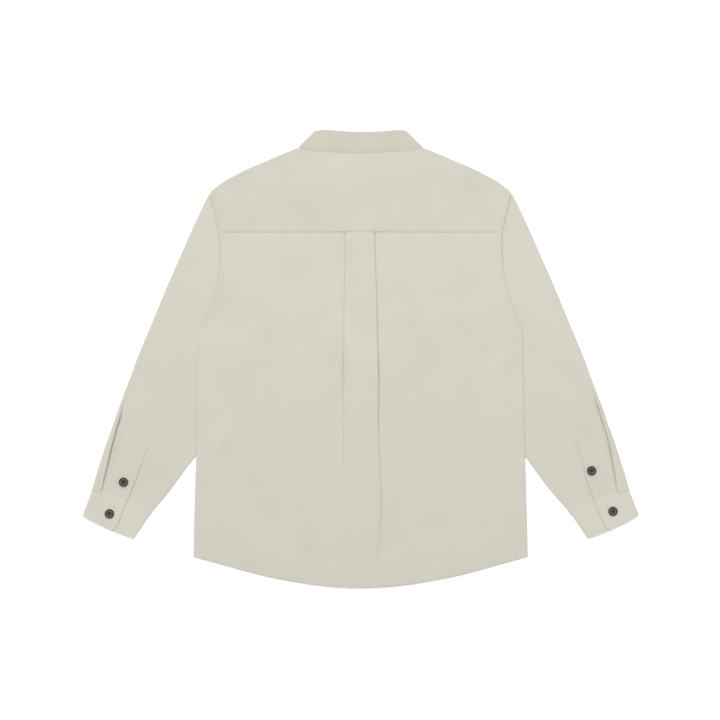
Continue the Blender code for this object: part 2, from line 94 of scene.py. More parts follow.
# Half outline of the body, armhole and side seam: height, half width
BODY_SIDE = (
    (280.5, 256), (248, 247.4), (217, 239.2), (180, 236.7), (146, 238.2), (120, 242.4), (97, 250),
    (76, 260), (62, 267.5), (54, 272), (35, 275), (9, 277), (-34, 279), (-88, 279), (-164, 279.3),
    (-230, 281.8), (-336, 284.4))

# Shoulder line: distance from the centre, height
SHOULDER = (
    (104, 361.3), (117, 356.2), (142, 346), (165.7, 335.8), (189.9, 325.6), (210, 315.4),
    (229.1, 305.2), (242.6, 295), (254.3, 284.8), (257.5, 280.5))

# Back neck seam: distance from the centre, height
BACK_NECK = ((0, 352.5), (40, 353.3), (78, 356.2), (104, 361.3))

# Front neck seam and top edge of the collar in front: neck x, neck y, top x, top y
FRONT_NECK = (
    (104, 362.2, 76, 389.6), (102.6, 338, 69, 358), (98, 317, 61, 337), (88, 299, 52, 322),
    (70, 284.5, 40, 312.5), (57, 279.2, 33, 309.5), (45, 275.5, 26, 307.5),
    (20, 272.3, 12, 306.2), (0, 272, 0, 306))

# Top edge of the collar at the back: x, y
COLLAR_TOP = (
    (-76, 389), (-61.5, 390.5), (-30, 388.2), (0, 387), (34, 387.8), (68, 390.2), (76, 388.8))

# Armhole and side as they lie: height, how far out on the left, how far out on the right
SETTLE = (
    (255, 0, 0), (203, 0.9, 1.3), (165, 0.6, 3.6), (127, 1, 4.8), (90, 0.8, 4.6), (58, 0, 2.2),
    (25, -0.3, -1.4), (-5, -1.4, -2.8), (-77, -1.5, -2.5), (-115, -0.6, -1), (-150, 0, 0))

# Sleeve tucked under the body: height, its inner edge
TUCK = (
    (33, 276.8), (10, 272), (-20, 256), (-56, 241), (-95, 238.5), (-129, 252), (-157, 275.5),
    (-165, 281.5))

# %% [markdown]
# ## Curves from a few sizes
# A pattern cutter draws each edge through a few measured points. These helpers do the
# same: one gives a smooth curve through a table, the others give the body's own edges.

# %% Helpers for edges
def ease(a, b, x):
    """Zero before a, one after b, smooth between."""
    t = np.clip((x - a) / (b - a), 0, 1)
    return t * t * (3 - 2 * t)


def fall(a, b, x):
    """One before a, zero after b, smooth between."""
    return 1 - ease(a, b, x)


def through(rows, key, value, at):
    """Smooth curve through two columns of a table."""
    k = np.array([r[key] for r in rows], float)
    v = np.array([r[value] for r in rows], float)
    if k[0] > k[-1]:
        k, v = k[::-1], v[::-1]
    step = np.diff(v) / np.diff(k)
    slope = np.concatenate([[step[0]], (step[1:] + step[:-1]) / 2, [step[-1]]])
    slope[1:-1][step[1:] * step[:-1] <= 0] = 0
    at = np.clip(at, k[0], k[-1])
    i = np.clip(np.searchsorted(k, at) - 1, 0, len(k) - 2)
    h = k[i + 1] - k[i]
    t = (at - k[i]) / h
    return ((2 * t**3 - 3 * t**2 + 1) * v[i] + (t**3 - 2 * t**2 + t) * h * slope[i]
            + (3 * t**2 - 2 * t**3) * v[i + 1] + (t**3 - t**2) * h * slope[i + 1])


def along(points, at):
    """Smooth curve through a list of points: one array for each coordinate."""
    table = [(k, *p) for k, p in enumerate(points)]
    return [through(table, 0, c + 1, at) for c in range(len(points[0]))]


def column(table, y, key):
    """One column of a table that runs down the piece, with straight lines between its rows."""
    return np.interp(-y, [-r[0] for r in table], [r[key] for r in table])


def line_at(table, x):
    """Straight lines through the first two columns of a table."""
    return np.interp(x, [r[0] for r in table], [r[1] for r in table])


def left_of(x, y):
    """Unit vector to the left of a line, as it runs."""
    dx, dy = np.gradient(x), np.gradient(y)
    w = np.hypot(dx, dy)
    return -dy / w, dx / w


def run_of(x, y):
    """Length of a line up to each of its points."""
    return np.concatenate([[0], np.cumsum(np.hypot(np.diff(x), np.diff(y)))])


def half_width(y):
    return through(BODY_SIDE, 0, 1, y)


def shoulder_y(x):
    return through(SHOULDER, 0, 1, np.abs(x))


def hem(x, centre_y):
    """Height of a hem, with the slight waves it has in the photo."""
    rise = (HEM_SIDE_Y - centre_y) / (math.hypot(HALF_HEM, HEM_ROUND) - HEM_ROUND)
    wave = 2.4 * np.exp(-((x + 185) / 50) ** 2) + 1.6 * np.exp(-((x - 240) / 55) ** 2)
    return centre_y + rise * (np.hypot(x, HEM_ROUND) - HEM_ROUND) + wave


def body_level(x, side_y, centre_y=HEM_BACK_Y):
    """Height at x of the row that meets the side seam at side_y."""
    share = (YOKE_SEAM_Y - side_y) / (YOKE_SEAM_Y - HEM_SIDE_Y)
    return YOKE_SEAM_Y + share * (hem(x, centre_y) - YOKE_SEAM_Y)


def settled(x, y):
    """The two armholes don't lie quite alike: each is moved out or in as the photo shows."""
    out = np.where(x < 0, through(SETTLE, 0, 1, y), through(SETTLE, 0, 2, y))
    return x + np.sign(x) * out * np.exp(-((np.abs(x) - half_width(y)) / 30) ** 2)


def lift(x, y):
    """How far the body side is raised by the sleeve tucked under it."""
    edge = column(TUCK, y, 1)
    length = ease(-64, -42, -y) * fall(180, 224, -y)
    return SLEEVE_LIFT * length * ease(edge - 50, edge - 22, np.abs(x))


print("body width at the hem:", 2 * HALF_HEM, "mm")

# %% [markdown]
# ## From points to cloth
# A grid primitive is the start of every piece. Its points are moved to the places that
# the pattern gives, its UV map is laid out in real metres along the threads, and
# Solidify gives it the thickness of the cloth.

# %% Helpers that make a piece of cloth
SMOOTH_BELOW = 50     # degrees between two faces that still shade as one surface


def spaced(*stops):
    """Places along a piece: (value, number of steps to the next value), and the last value."""
    parts = [np.linspace(a[0], b[0], a[1] + 1)[:-1] for a, b in zip(stops, stops[1:])]
    return np.concatenate(parts + [[stops[-1][0]]])


def choose_faces(mesh, wanted):
    """Selects the faces that wanted says yes to, and goes on in edit mode."""
    bpy.ops.object.mode_set(mode="EDIT")
    bpy.ops.mesh.select_mode(type="FACE")
    bpy.ops.mesh.select_all(action="DESELECT")
    bpy.ops.object.mode_set(mode="OBJECT")
    for face in mesh.polygons:
        face.select = wanted(face)
    bpy.ops.object.mode_set(mode="EDIT")


def cloth(name, points, wall=CLOTH, ring=False, drop=None):
    """A sheet through rows of points (rows, columns, 3), with its wall about them.

    A ring has its last column joined to its first. Faces with all corners in drop go."""
    rows, cols = points.shape[:2]
    points = np.dstack([settled(points[..., 0], points[..., 1]), points[..., 1], points[..., 2]])
    bpy.ops.mesh.primitive_grid_add(x_subdivisions=cols - 1, y_subdivisions=rows - 1, size=2)
    piece = bpy.context.object
    piece.name = piece.data.name = name
    mesh = piece.data
    flat = np.empty(len(mesh.vertices) * 3)
    mesh.vertices.foreach_get("co", flat)
    place = (flat.reshape(-1, 3)[:, :2] + 1) / 2 * (cols - 1, rows - 1)
    col, row = np.rint(place).astype(int).T
    mesh.vertices.foreach_set("co", (points[row, col] * MM).ravel())
    steps = np.linalg.norm(np.diff(points, axis=1), axis=2)
    across = np.hstack([np.zeros((rows, 1)), np.cumsum(steps, axis=1)])
    across -= across[:, cols // 2:cols // 2 + 1]
    steps = np.linalg.norm(np.diff(points, axis=0), axis=2)
    down = np.concatenate([np.zeros((1, cols)), np.cumsum(steps, axis=0)])
    corner = np.empty(len(mesh.loops), int)
    mesh.loops.foreach_get("vertex_index", corner)
    uv = np.stack([across[row, col], down[row, col]], axis=1)[corner] * MM
    mesh.uv_layers[0].data.foreach_set("uv", uv.ravel())
    mesh.update()
    if drop is not None:
        choose_faces(mesh, lambda face: all(drop[row[v], col[v]] for v in face.vertices))
        bpy.ops.mesh.delete(type="FACE")
        bpy.ops.object.mode_set(mode="OBJECT")
    bpy.ops.object.mode_set(mode="EDIT")
    bpy.ops.mesh.select_all(action="SELECT")
    if ring:
        bpy.ops.mesh.remove_doubles(threshold=1e-6)
    bpy.ops.mesh.normals_make_consistent(inside=False)
    bpy.ops.object.mode_set(mode="OBJECT")
    solidify = piece.modifiers.new("thickness", "SOLIDIFY")
    solidify.thickness = wall * MM
    solidify.offset = 0
    bpy.ops.object.modifier_apply(modifier=solidify.name)
    bpy.ops.object.shade_smooth_by_angle(angle=math.radians(SMOOTH_BELOW))
    return piece


CLOTH_PIECES = []


def belongs(piece, material, *nodes):
    """The piece gets its finish and stands for its CAD nodes."""
    piece.data.materials.clear()
    piece.data.materials.append(material)
    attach(piece, "root")
    if nodes:
        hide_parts(*nodes)
        CLOTH_PIECES.append(piece.name)
    area = sum(f.area for f in piece.data.polygons) / 2
    print(piece.name, len(piece.data.polygons), "faces,", round(area, 4), "m2")


def folds(x, y, rows):
    """Soft ridges and troughs, each along a line: x0 y0 x1 y1, half width, height."""
    z = np.zeros(np.broadcast(x, y).shape)
    for x0, y0, x1, y1, width, height in rows:
        dx, dy = x1 - x0, y1 - y0
        f = ((x - x0) * dx + (y - y0) * dy) / (dx * dx + dy * dy)
        away = (x - x0 - f * dx) ** 2 + (y - y0 - f * dy) ** 2
        ends = ease(-0.3, 0.3, f) * fall(0.7, 1.3, f)
        z = z + height * np.exp(-away / width**2) * ends
    return z


def unrest(x, y, size, height, turn=0):
    """The faint unevenness of pressed cloth: crossing waves of unequal length."""
    c, s = math.cos(turn), math.sin(turn)
    a, b = (x * c + y * s) / size, (y * c - x * s) / size
    return height * (0.5 * np.sin(2.1 * a + 1.3 * np.sin(0.9 * b))
                     + 0.3 * np.sin(3.7 * b + 1.1 * np.sin(1.7 * a))
                     + 0.2 * np.sin(6.3 * a + 2.9 * b))


# %% [markdown]
# ## Colour and cotton
# The cloth is an undyed plain-weave cotton, soft and matt: warp and weft cross over and
# under each other, and a little fuzz stands on the surface. It scatters light evenly, so
# roughness is high and a weak sheen stands for the fuzz. Real threads are about 0.35 mm
# apart, too fine to show at this distance, so the weave is drawn at 1 mm.

# %% Material helpers
WAVE = 0.314          # scale at which a wave texture repeats once in a unit of length
WEAVE = 1 * MM        # from one drawn thread to the next


def linear(hex_colour):
    """An sRGB hex colour as linear red, green, blue, alpha."""
    parts = [int(hex_colour[k:k + 2], 16) / 255 for k in (1, 3, 5)]
    return (*[c / 12.92 if c <= 0.04045 else ((c + 0.055) / 1.055) ** 2.4 for c in parts], 1)


def node(tree, kind, settings=None, **links):
    """Adds a node. Settings are its own values, links its inputs: a value or a socket."""
    made = tree.nodes.new(kind)
    for name, value in (settings or {}).items():
        setattr(made, name, value)
    for name, value in links.items():
        socket = made.inputs[int(name[1:])] if name[0] == "i" and name[1:].isdigit() \
            else made.inputs[name.replace("_", " ")]
        if isinstance(value, bpy.types.NodeSocket):
            tree.links.new(value, socket)
        else:
            socket.default_value = value
    return made


def principled(name, settings):
    """A new material with the shader's own values set."""
    material = bpy.data.materials.new(name)
    material.use_nodes = True
    shader = material.node_tree.nodes["Principled BSDF"]
    for setting, value in settings.items():
        shader.inputs[setting].default_value = value
    return material, material.node_tree, shader


def times_plus(tree, value, times, plus, clamp=False):
    """The sum value * times + plus."""
    return node(tree, "ShaderNodeMath", {"operation": "MULTIPLY_ADD", "use_clamp": clamp},
                i0=value, i1=times, i2=plus).outputs[0]


def two_tone(tree, mix, dark, light, stops=(0, 1)):
    """The colour of a ramp from a dark to a light tone."""
    ramp = node(tree, "ShaderNodeValToRGB", None, i0=mix)
    for element, stop, colour in zip(ramp.color_ramp.elements, stops, (dark, light)):
        element.position, element.color = stop, colour
    return ramp.outputs["Color"]


def darker(hex_colour, share):
    return [c * share for c in linear(hex_colour)[:3]] + [1]


def cotton(name, light, shade, seed=0):
    """Plain-weave cotton between a lighter and a darker tone."""
    material, tree, shader = principled(name, {
        "Roughness": 0.92, "IOR": 1.46, "Specular IOR Level": 0.3, "Sheen Weight": 0.12,
        "Sheen Roughness": 0.6})
    where = node(tree, "ShaderNodeTexCoord")
    threads = []
    for direction in ("X", "Y"):
        threads.append(node(
            tree, "ShaderNodeTexWave",
            {"wave_type": "BANDS", "bands_direction": direction, "wave_profile": "SIN"},
            Vector=where.outputs["UV"], Scale=WAVE / WEAVE, Distortion=1.2, Detail=2.0,
            Detail_Scale=1.5))
    weave = node(tree, "ShaderNodeMath", {"operation": "MULTIPLY"},
                 i0=threads[0].outputs["Fac"], i1=threads[1].outputs["Fac"])
    slub = node(tree, "ShaderNodeTexNoise", None, Vector=where.outputs["UV"],
                Scale=0.35 / MM, Detail=3, Roughness=0.6)
    cloud = node(tree, "ShaderNodeTexNoise", {"noise_dimensions": "4D"},
                 Vector=where.outputs["Object"], W=seed, Scale=14.0, Detail=3.0, Roughness=0.55)
    # The weave also darkens the tone in the gaps between the threads: painted shade in its
    # hollows. Slub and cloud are the cloth's own uneven tone.
    mix = times_plus(tree, weave.outputs[0], 0.35, 0)
    mix = times_plus(tree, slub.outputs["Fac"], 0.45, mix)
    mix = times_plus(tree, cloud.outputs["Fac"], 0.55, mix, clamp=True)
    tone = two_tone(tree, mix, linear(shade), linear(light), (0.3, 0.85))
    height = times_plus(tree, slub.outputs["Fac"], 0.5, weave.outputs[0])
    bump = node(tree, "ShaderNodeBump", None, Strength=0.25, Distance=0.12 * MM, Height=height)
    tree.links.new(tone, shader.inputs["Base Color"])
    tree.links.new(bump.outputs["Normal"], shader.inputs["Normal"])
    return material


COTTON = cotton("woven_cotton", "#C5C2B7", "#BBB7AA")
PRESSED = cotton("woven_cotton_interlined", "#C8C5BA", "#BFBBAE", 3.0)
# The collar takes a darker copy of the same cotton: painted shade where its band curves away from
# the light.
COLLAR_SHADED_COTTON = cotton("woven_cotton_collar_painted_shade", "#BDB9AD", "#B4B0A3", 5.0)
# The yoke takes a slightly darker copy of the same cotton: painted shade.
YOKE_SHADED_COTTON = cotton("woven_cotton_yoke_painted_shade", "#C2C0B4", "#B8B4A8", 8.0)
print("materials:", COTTON.name, PRESSED.name, COLLAR_SHADED_COTTON.name, YOKE_SHADED_COTTON.name)

# %% [markdown]
# ## The back, with its box pleat
# The back is one panel under the yoke. A box pleat falls from the yoke seam down the
# centre: two folds turn under, sharp at the top, and open out toward the hem. The grid
# keeps the same number of columns in each bend, so the fold can change along its length.

# %% Box pleat
# Height, then for each fold: its edge, turn in degrees, cloth that returns, cloth in the bend
PLEAT = (
    (217, -25.4, 180, 15, 1.7, 23.2, 180, 15, 1.7), (84, -27.6, 180, 11, 1.9, 27.3, 180, 12, 2.4),
    (16, -27.8, 172, 8, 1.5, 28.7, 176, 8, 2), (-20, -27.8, 150, 4, 1.4, 29.4, 140, 4, 1.6),
    (-52, -27.8, 126, 2, 1.4, 29.8, 108, 2, 1.4), (-90, -28.4, 100, 1, 1.5, 30.1, 96, 2, 1.5),
    (-130, -29.9, 76, 0.6, 1.6, 31.7, 70, 0.6, 1.6),
    (-171, -31.5, 64, 0.3, 1.7, 33.9, 60, 0.3, 1.7),
    (-205, -33.2, 56, 0.2, 1.8, 35.5, 56, 0.2, 1.8),
    (-256, -34.4, 46, 0.1, 1.8, 36.6, 50, 0.1, 1.9), (-290, -36, 34, 0.1, 1.8, 34.6, 42, 0.1, 2),
    (-318, -37.4, 22, 0.1, 1.8, 32, 30, 0.1, 2), (-342, -38.2, 12, 0.1, 1.8, 28.6, 18, 0.1, 2),
    (-390, -39, 6, 0.1, 1.6, 20, 8, 0.1, 2))


def fold(turn, back, bend):
    """Section of one pleat fold: out over the bend, back under, and out again."""
    a = np.radians(np.maximum(turn, 4))
    r = bend / a
    t = np.linspace(0, 1, 7)[1:]
    x, z = r * np.sin(a * t), -r * (1 - np.cos(a * t))
    run = np.array([0.33, 0.67, 1])
    x = np.hstack([x, x[:, -1:] + back * run * np.cos(a)])
    z = np.hstack([z, z[:, -1:] - back * run * np.sin(a)])
    b = a * (1 - t)
    return (np.hstack([x, x[:, -1:] + r * (np.sin(a) - np.sin(b))]),
            np.hstack([z, z[:, -1:] - r * (np.cos(b) - np.cos(a))]))


# %% Surface of the back
BACK_FOLDS = (
    (-150, 190, -172, -20, 26, 0.7), (-95, 60, -110, -250, 30, 0.6),
    (-205, 60, -222, -150, 24, 0.7), (-60, -80, -66, -330, 16, 0.5), (90, 180, 104, -60, 28, 0.6),
    (150, 90, 168, -180, 30, 0.7), (212, 30, 226, -200, 24, 0.6), (70, -60, 78, -320, 20, 0.6),
    (120, -150, 132, -350, 24, 0.5), (-160, -150, -176, -340, 26, 0.5),
    (22, -342, 6, -372, 5, -0.5), (-14, -160, -21, -310, 3, -0.4))


def back_z(x, y):
    """Middle of the back panel, over the fronts and the tucked sleeves."""
    rise = BACK_RISE * fall(15, 150, np.abs(x))
    rise = rise * (1 - 0.55 * ease(290, 360, y))
    loose = ease(8, 40, half_width(y) - np.abs(x)) * ease(-4, 40, y - hem(x, HEM_BACK_Y))
    loose = loose * ease(2, 40, shoulder_y(x) - y)
    soft = 0.6 + folds(x, y, BACK_FOLDS) + unrest(x, y, 55, 0.3, 0.4)
    return BACK_Z + rise + lift(x, y) + loose * soft


def back_edge(x, y):
    """The raised edge along the armhole, and the roll of the side seam below it."""
    inside = half_width(y) - np.abs(x)
    armhole = ease(44, 60, y)
    welt = ease(-6.8, -4.9, -inside) * 0.75 + ease(-30, -6, -inside) * 1.6
    roll = -0.6 * fall(0, 5, inside)
    return armhole * welt + (1 - armhole) * roll


# %% Rows and columns of the back
side_levels = spaced((225.5, 4), (217, 8), (204, 94), (-322, 8), (-336,))
# the hem turns under: along the cloth, then height
HEM_TURN = (
    (-0.1, -0.08), (-0.38, -0.32), (-0.45, -0.52), (-0.1, -0.9), (2.4, -0.95), (4.9, -0.95),
    (7, -0.95))
levels = np.concatenate([side_levels, np.full(len(HEM_TURN), HEM_SIDE_Y)])[:, None]
turn_y = np.concatenate([np.zeros(len(side_levels)), [t[0] for t in HEM_TURN]])[:, None]
turn_z = np.concatenate([np.zeros(len(side_levels)), [t[1] for t in HEM_TURN]])[:, None]
PANEL_SHARES = spaced((0, 4), (0.04, 6), (0.12, 28), (0.84, 14), (0.97, 5), (1,))[1:]
STRIP_SHARES = np.linspace(0, 1, 8)


def pleat_fold(first):
    """One fold of the pleat in every row: its edge, section and height."""
    edge, turn, back, bend = (column(PLEAT, body_level(30, levels), first + k)
                              for k in range(4))
    px, pz = fold(turn, back, bend)
    return np.abs(edge) - px.max(axis=1, keepdims=True), px, pz, -pz[:, -1:]


def back_half(side, first):
    """From the centre of the pleat strip to the side seam."""
    edge, px, pz, top = pleat_fold(first)
    middle = (top + pleat_fold(6 - first)[3]) / 2
    x = np.hstack([edge * STRIP_SHARES, edge + px])
    dz = np.hstack([middle + (top - middle) * STRIP_SHARES, top + pz])
    inner = x[:, -1:]
    wide = half_width(body_level(HALF_HEM, levels))
    for _ in range(3):    # the width asks for the level there, and the level for the width
        wide = half_width(body_level(wide, levels))
    away = (wide - inner) * PANEL_SHARES
    trough = -0.3 * top * np.exp(-(away / 9) ** 2) * ease(30, -60, body_level(30, levels))
    x = np.hstack([x, inner + away])
    dz = np.hstack([dz, trough])
    y = body_level(x, levels)
    strip = ease(5, 7, half_width(y) - np.abs(x))
    under = -0.8 * ease(215.8, 218.6, y - 1.7 * (1 - strip))
    z = back_z(x, np.minimum(y, 400)) + dz + back_edge(x, y) + under + turn_z
    return np.dstack([side * x, y + turn_y, z])


left, right = back_half(-1, 1), back_half(1, 5)
middle = (left[:, :1] + right[:, :1]) / 2
back = cloth("back_panel", np.hstack([left[:, :0:-1], middle, right[:, 1:]]))
belongs(back, COTTON, "back")

# %% [markdown]
# ## The yoke
# The yoke crosses the back above the seam, goes over the shoulders and ends on the front.
# Its lower edge lies on the back panel and is topstitched 6 mm above the seam, so a low
# welt stands along it. Each column of the grid runs from the seam to the neck or over the
# shoulder fold to the front.

# %% Yoke
YOKE_WIDE = 255.2
YOKE_FOOT = 239.0     # half width along its seam
NECK_X = 104.0        # half width of the neck
SHOULDER_X = 104.3    # first column that goes over the shoulder
FLAP_IN = 1.35        # how far the flap leans in to meet the side of the collar
yoke_x = spaced((0, 30), (100, 3), (SHOULDER_X, 38), (235, 14), (YOKE_WIDE,))
yoke_f = spaced((0, 5), (0.05, 5), (0.12, 26), (0.86, 12), (1,))
flap_f = spaced((0, 6), (0.7, 5), (1,))[1:]


def yoke_line(x):
    """Foot and head of one column of the yoke."""
    head_y = np.where(x < NECK_X, through(BACK_NECK, 0, 1, x), shoulder_y(x) - 1.15)
    return x / YOKE_WIDE * YOKE_FOOT, np.full(x.shape, YOKE_SEAM_Y), x, head_y


def flap_end(x):
    """Where the flap that comes over the shoulder ends on the front."""
    foot_x, foot_y, head_x, head_y = yoke_line(x)
    k = YOKE_FRONT / (head_y - foot_y)
    return head_x + (foot_x - head_x) * k, head_y - YOKE_FRONT


def yoke_z(x, y, side):
    """Over the back, the pleat under its seam, and its own seam allowances."""
    pleat = fall(25, 32, np.abs(side * x + 1.75)) * fall(218, 262, y)
    above = y - YOKE_SEAM_Y
    welt = 0.55 * fall(5.5, 8, above) + 0.25 * fall(9, 30, above)
    edge = back_edge(x, np.maximum(y, 60))
    welt = welt * ease(5, 8, half_width(y) - np.abs(x))
    return back_z(x, y) + 1.75 * pleat + welt + edge


def yoke_half(side):
    """Columns from the seam to the neck, or over the shoulder to the end of the flap."""
    foot_x, foot_y, head_x, head_y = yoke_line(yoke_x)
    x = foot_x + (head_x - foot_x) * yoke_f[:, None]
    y = foot_y + (head_y - foot_y) * yoke_f[:, None]
    z = yoke_z(x, y, side)
    top = z[-1]
    r = (top - FRONT_Z) / 2
    a = np.linspace(0, math.pi, 9)[1:-1, None]
    beside_neck = fall(SHOULDER_X, 107, head_x)    # meets the side of the collar
    over = [head_x - FLAP_IN * beside_neck * a / math.pi, head_y + r * 0.95 * np.sin(a),
            FRONT_Z + r + r * np.cos(a)]
    end_x, end_y = flap_end(yoke_x)
    f = np.concatenate([[0], flap_f])[:, None]
    flap = [head_x + (end_x - head_x) * f - (FLAP_IN - 0.75 * f) * beside_neck,
            head_y + (end_y - head_y) * f, FRONT_Z + 0 * head_x * f]
    parts = [np.dstack([side * p[0], p[1], p[2]]) for p in ((x, y, z), over, flap)]
    return np.concatenate(parts)


left, right = yoke_half(-1), yoke_half(1)
points = np.hstack([left[:, :0:-1], right])
neck = np.zeros(points.shape[:2], bool)
neck[len(yoke_f) - 1:] = np.abs(points[len(yoke_f) - 1, :, 0]) < SHOULDER_X + 0.1
yoke = cloth("yoke_over_shoulders", points, drop=neck)
# painted shade: the yoke's cotton is a slightly darker copy of the body's
belongs(yoke, YOKE_SHADED_COTTON, "yoke")

# %% [markdown]
# ## The two fronts and the button band
# The fronts lie under everything. They meet at the centre, where the left one carries the
# band with its buttons. Their necks follow the collar seam, and their shoulders run up
# under the yoke.

# %% Fronts
FLAP = sorted(zip(*flap_end(np.array([104.5, 121, 141, 168, 195, 222, 241, 255.2]))))
front_levels = spaced((205, 92), (-322, 8), (-336,))
NECK_ROWS = 24        # rows from the neck and shoulder down to the armhole levels
NEAR_X = 88.0         # columns inside this run straight, those outside follow the side
NEAR_COLS = 26


def neck_line(x):
    return line_at(FRONT_NECK[::-1], x)


def front_top(x):
    """Upper edge of a front, which runs on under the collar and the yoke."""
    neck = neck_line(x) + 4 + 6 * ease(50, 80, x)
    flap = line_at(FLAP, x) + 7
    return neck + (flap - neck) * ease(92, 100, x)


def front_half(side, middle_z):
    """One front, from past the centre to the side seam."""
    near = np.linspace(-BAND_HALF, NEAR_X, NEAR_COLS)
    shares = spaced((0, 24), (0.84, 8), (1,))[1:]
    n = len(front_levels) + NECK_ROWS
    side_y = np.concatenate([np.full(NECK_ROWS, front_levels[0]), front_levels])[:, None]
    wide = half_width(side_y)
    x = np.hstack([np.broadcast_to(near, (n, NEAR_COLS)), NEAR_X + (wide - NEAR_X) * shares])
    y = body_level(x, side_y, HEM_FRONT_Y)
    f = np.linspace(1, 0, NECK_ROWS + 1)[:-1, None]
    # the width depends on the height and the height on the width, so both settle in rounds
    for _ in range(30):
        head = front_top(np.abs(x[:NECK_ROWS]))
        y[:NECK_ROWS] = y[NECK_ROWS] + (head - y[NECK_ROWS]) * f
        wide = half_width(y[:NECK_ROWS, NEAR_COLS:])
        x[:NECK_ROWS, NEAR_COLS:] = NEAR_X + (wide - NEAR_X) * shares
    inside = half_width(y) - np.abs(x)
    arm = ease(50, 66, y)
    z = FRONT_Z + (middle_z - FRONT_Z) * fall(20, 62, np.abs(x)) + lift(x, y)
    z = z + (1 - arm) * 0.45 * fall(0, 5, inside)
    under = ease(-9, -5.5, y - line_at(FLAP, np.abs(x)))
    z = z + 0.85 * under * ease(96, 104, np.abs(x))
    z = z + 0.55 * ease(-3, 1, y - neck_line(np.abs(x))) * fall(92, 98, np.abs(x))
    return np.dstack([side * x, y, z])


for name, side, middle_z in (("front_left", -1, LEFT_Z), ("front_right", 1, RIGHT_Z)):
    belongs(cloth(name + "_panel", front_half(side, middle_z)), COTTON, name)

# %% Button band
y = np.linspace(271, HEM_FRONT_Y + 0.2, 160)[:, None]
x = np.linspace(-BAND_HALF, BAND_HALF, 15)
z = BAND_Z + unrest(x + 0 * y, y + 0 * x, 14, 0.05)
band = cloth("button_band", np.dstack([x + 0 * y, y + 0 * x, z]))
belongs(band, PRESSED, "front_band")

# %% [markdown]
# ## The collar
# The collar is a band that stands round the neck. Laid flat it folds at each side of the
# neck, and its two ends lap at the centre front.

# %% Collar
collar_f = spaced((0, 5), (0.16, 10), (0.84, 5), (1,))[:, None]
COLLAR_OUT = (0.70, 0.714)      # the way out at the side of the neck, across and up
COLLAR_IN = 1.1                 # how far the sides stand in, clear of the yoke


def collar_front(side, rise):
    """From its end, past the centre front, to the side of the neck."""
    nx, ny, tx, ty = along(FRONT_NECK, np.linspace(8, 0, 44))
    nx, tx = (np.concatenate([[-COLLAR_LAP, -COLLAR_LAP / 2], v]) for v in (nx, tx))
    ny, ty = (np.concatenate([[v[0], v[0]], v]) for v in (ny, ty))
    x, y = nx + (tx - nx) * collar_f, ny + (ty - ny) * collar_f
    side_in = COLLAR_IN * ease(340, 362.2, ny)
    x, y = x - side_in * COLLAR_OUT[0], y - side_in * COLLAR_OUT[1]
    z = FRONT_Z + 0.1 + rise * fall(20, 62, np.abs(x))
    return np.dstack([side * x, y, z])


def collar_side(side, top):
    """The fold at the side of the neck, up to the height top."""
    nx, ny, tx, ty = FRONT_NECK[0]
    low = FRONT_Z + 0.1
    r = (top - low) / 2
    a = np.linspace(0, math.pi, 8)[1:-1]
    push = r * np.sin(a) - COLLAR_IN
    x = side * (nx + (tx - nx) * collar_f + push * COLLAR_OUT[0])
    y = ny + (ty - ny) * collar_f + push * COLLAR_OUT[1]
    return np.dstack([x, y, low + r - r * np.cos(a) + 0 * x])


def collar_back():
    """Over the yoke, from one side of the neck to the other."""
    s = np.linspace(-1, 1, 61)
    x0, x1 = s * 103.1, s * 75.2
    y0 = through(BACK_NECK, 0, 1, np.abs(x0)) - 0.6
    y1 = through(COLLAR_TOP, 0, 1, x1)
    x, y = x0 + (x1 - x0) * collar_f, y0 + (y1 - y0) * collar_f
    sunk = 0.35 + 0.2 * ease(-20, 40, x)
    z = back_z(x, np.minimum(y, 352)) + 0.85 - sunk * fall(0, 7, y - y0)
    return np.dstack([x, y, z])


backs = collar_back()
points = np.hstack([
    collar_front(-1, 2.45), collar_side(-1, backs[:, 0, 2].mean()), backs,
    collar_side(1, backs[:, -1, 2].mean())[:, ::-1],
    collar_front(1, 3.3)[:, ::-1]])
collar = cloth("collar_band", points, wall=0.9)
# painted shade: the collar's cotton is a darker copy of the body's
belongs(collar, COLLAR_SHADED_COTTON, "collar")

# %% [markdown]
# ## The sleeves
# Each sleeve is a flat tube. It starts under the armhole edge of the body, runs out and
# down, and its inner edge goes under the body side. A knife pleat near the outer edge
# takes in the fullness at the cuff.

# %% Sleeve sections and pleat
# Outer edge x y, inner edge x y. The first nine end on the armhole.
SLEEVE = (
    (258.8, 280.3, 247.8, 248), (269.6, 258.2, 239.6, 217), (284.3, 226.5, 237, 180),
    (298.6, 194.5, 238.5, 146), (309.2, 170, 242.7, 120), (321.3, 143, 250.3, 97),
    (331.5, 119.5, 260.3, 76), (339.5, 99.5, 266.6, 62), (346.9, 82, 267.6, 54),
    (355.1, 62, 269, 33), (365.6, 37, 272, 10), (379.2, 4, 256, -20), (390.5, -27, 241, -56),
    (401.5, -55.5, 238.5, -95), (411.2, -82, 252, -129), (420.8, -111, 275.5, -157),
    (431.9, -142, 303, -192), (442.9, -175, 331, -230), (450.9, -201, 347.6, -250),
    (455.9, -219, 355.4, -258.9))
HOLE_END = 8.0        # place in the list where the armhole ends
SLEEVE_END = 19.0     # last place in the list, at the cuff seam
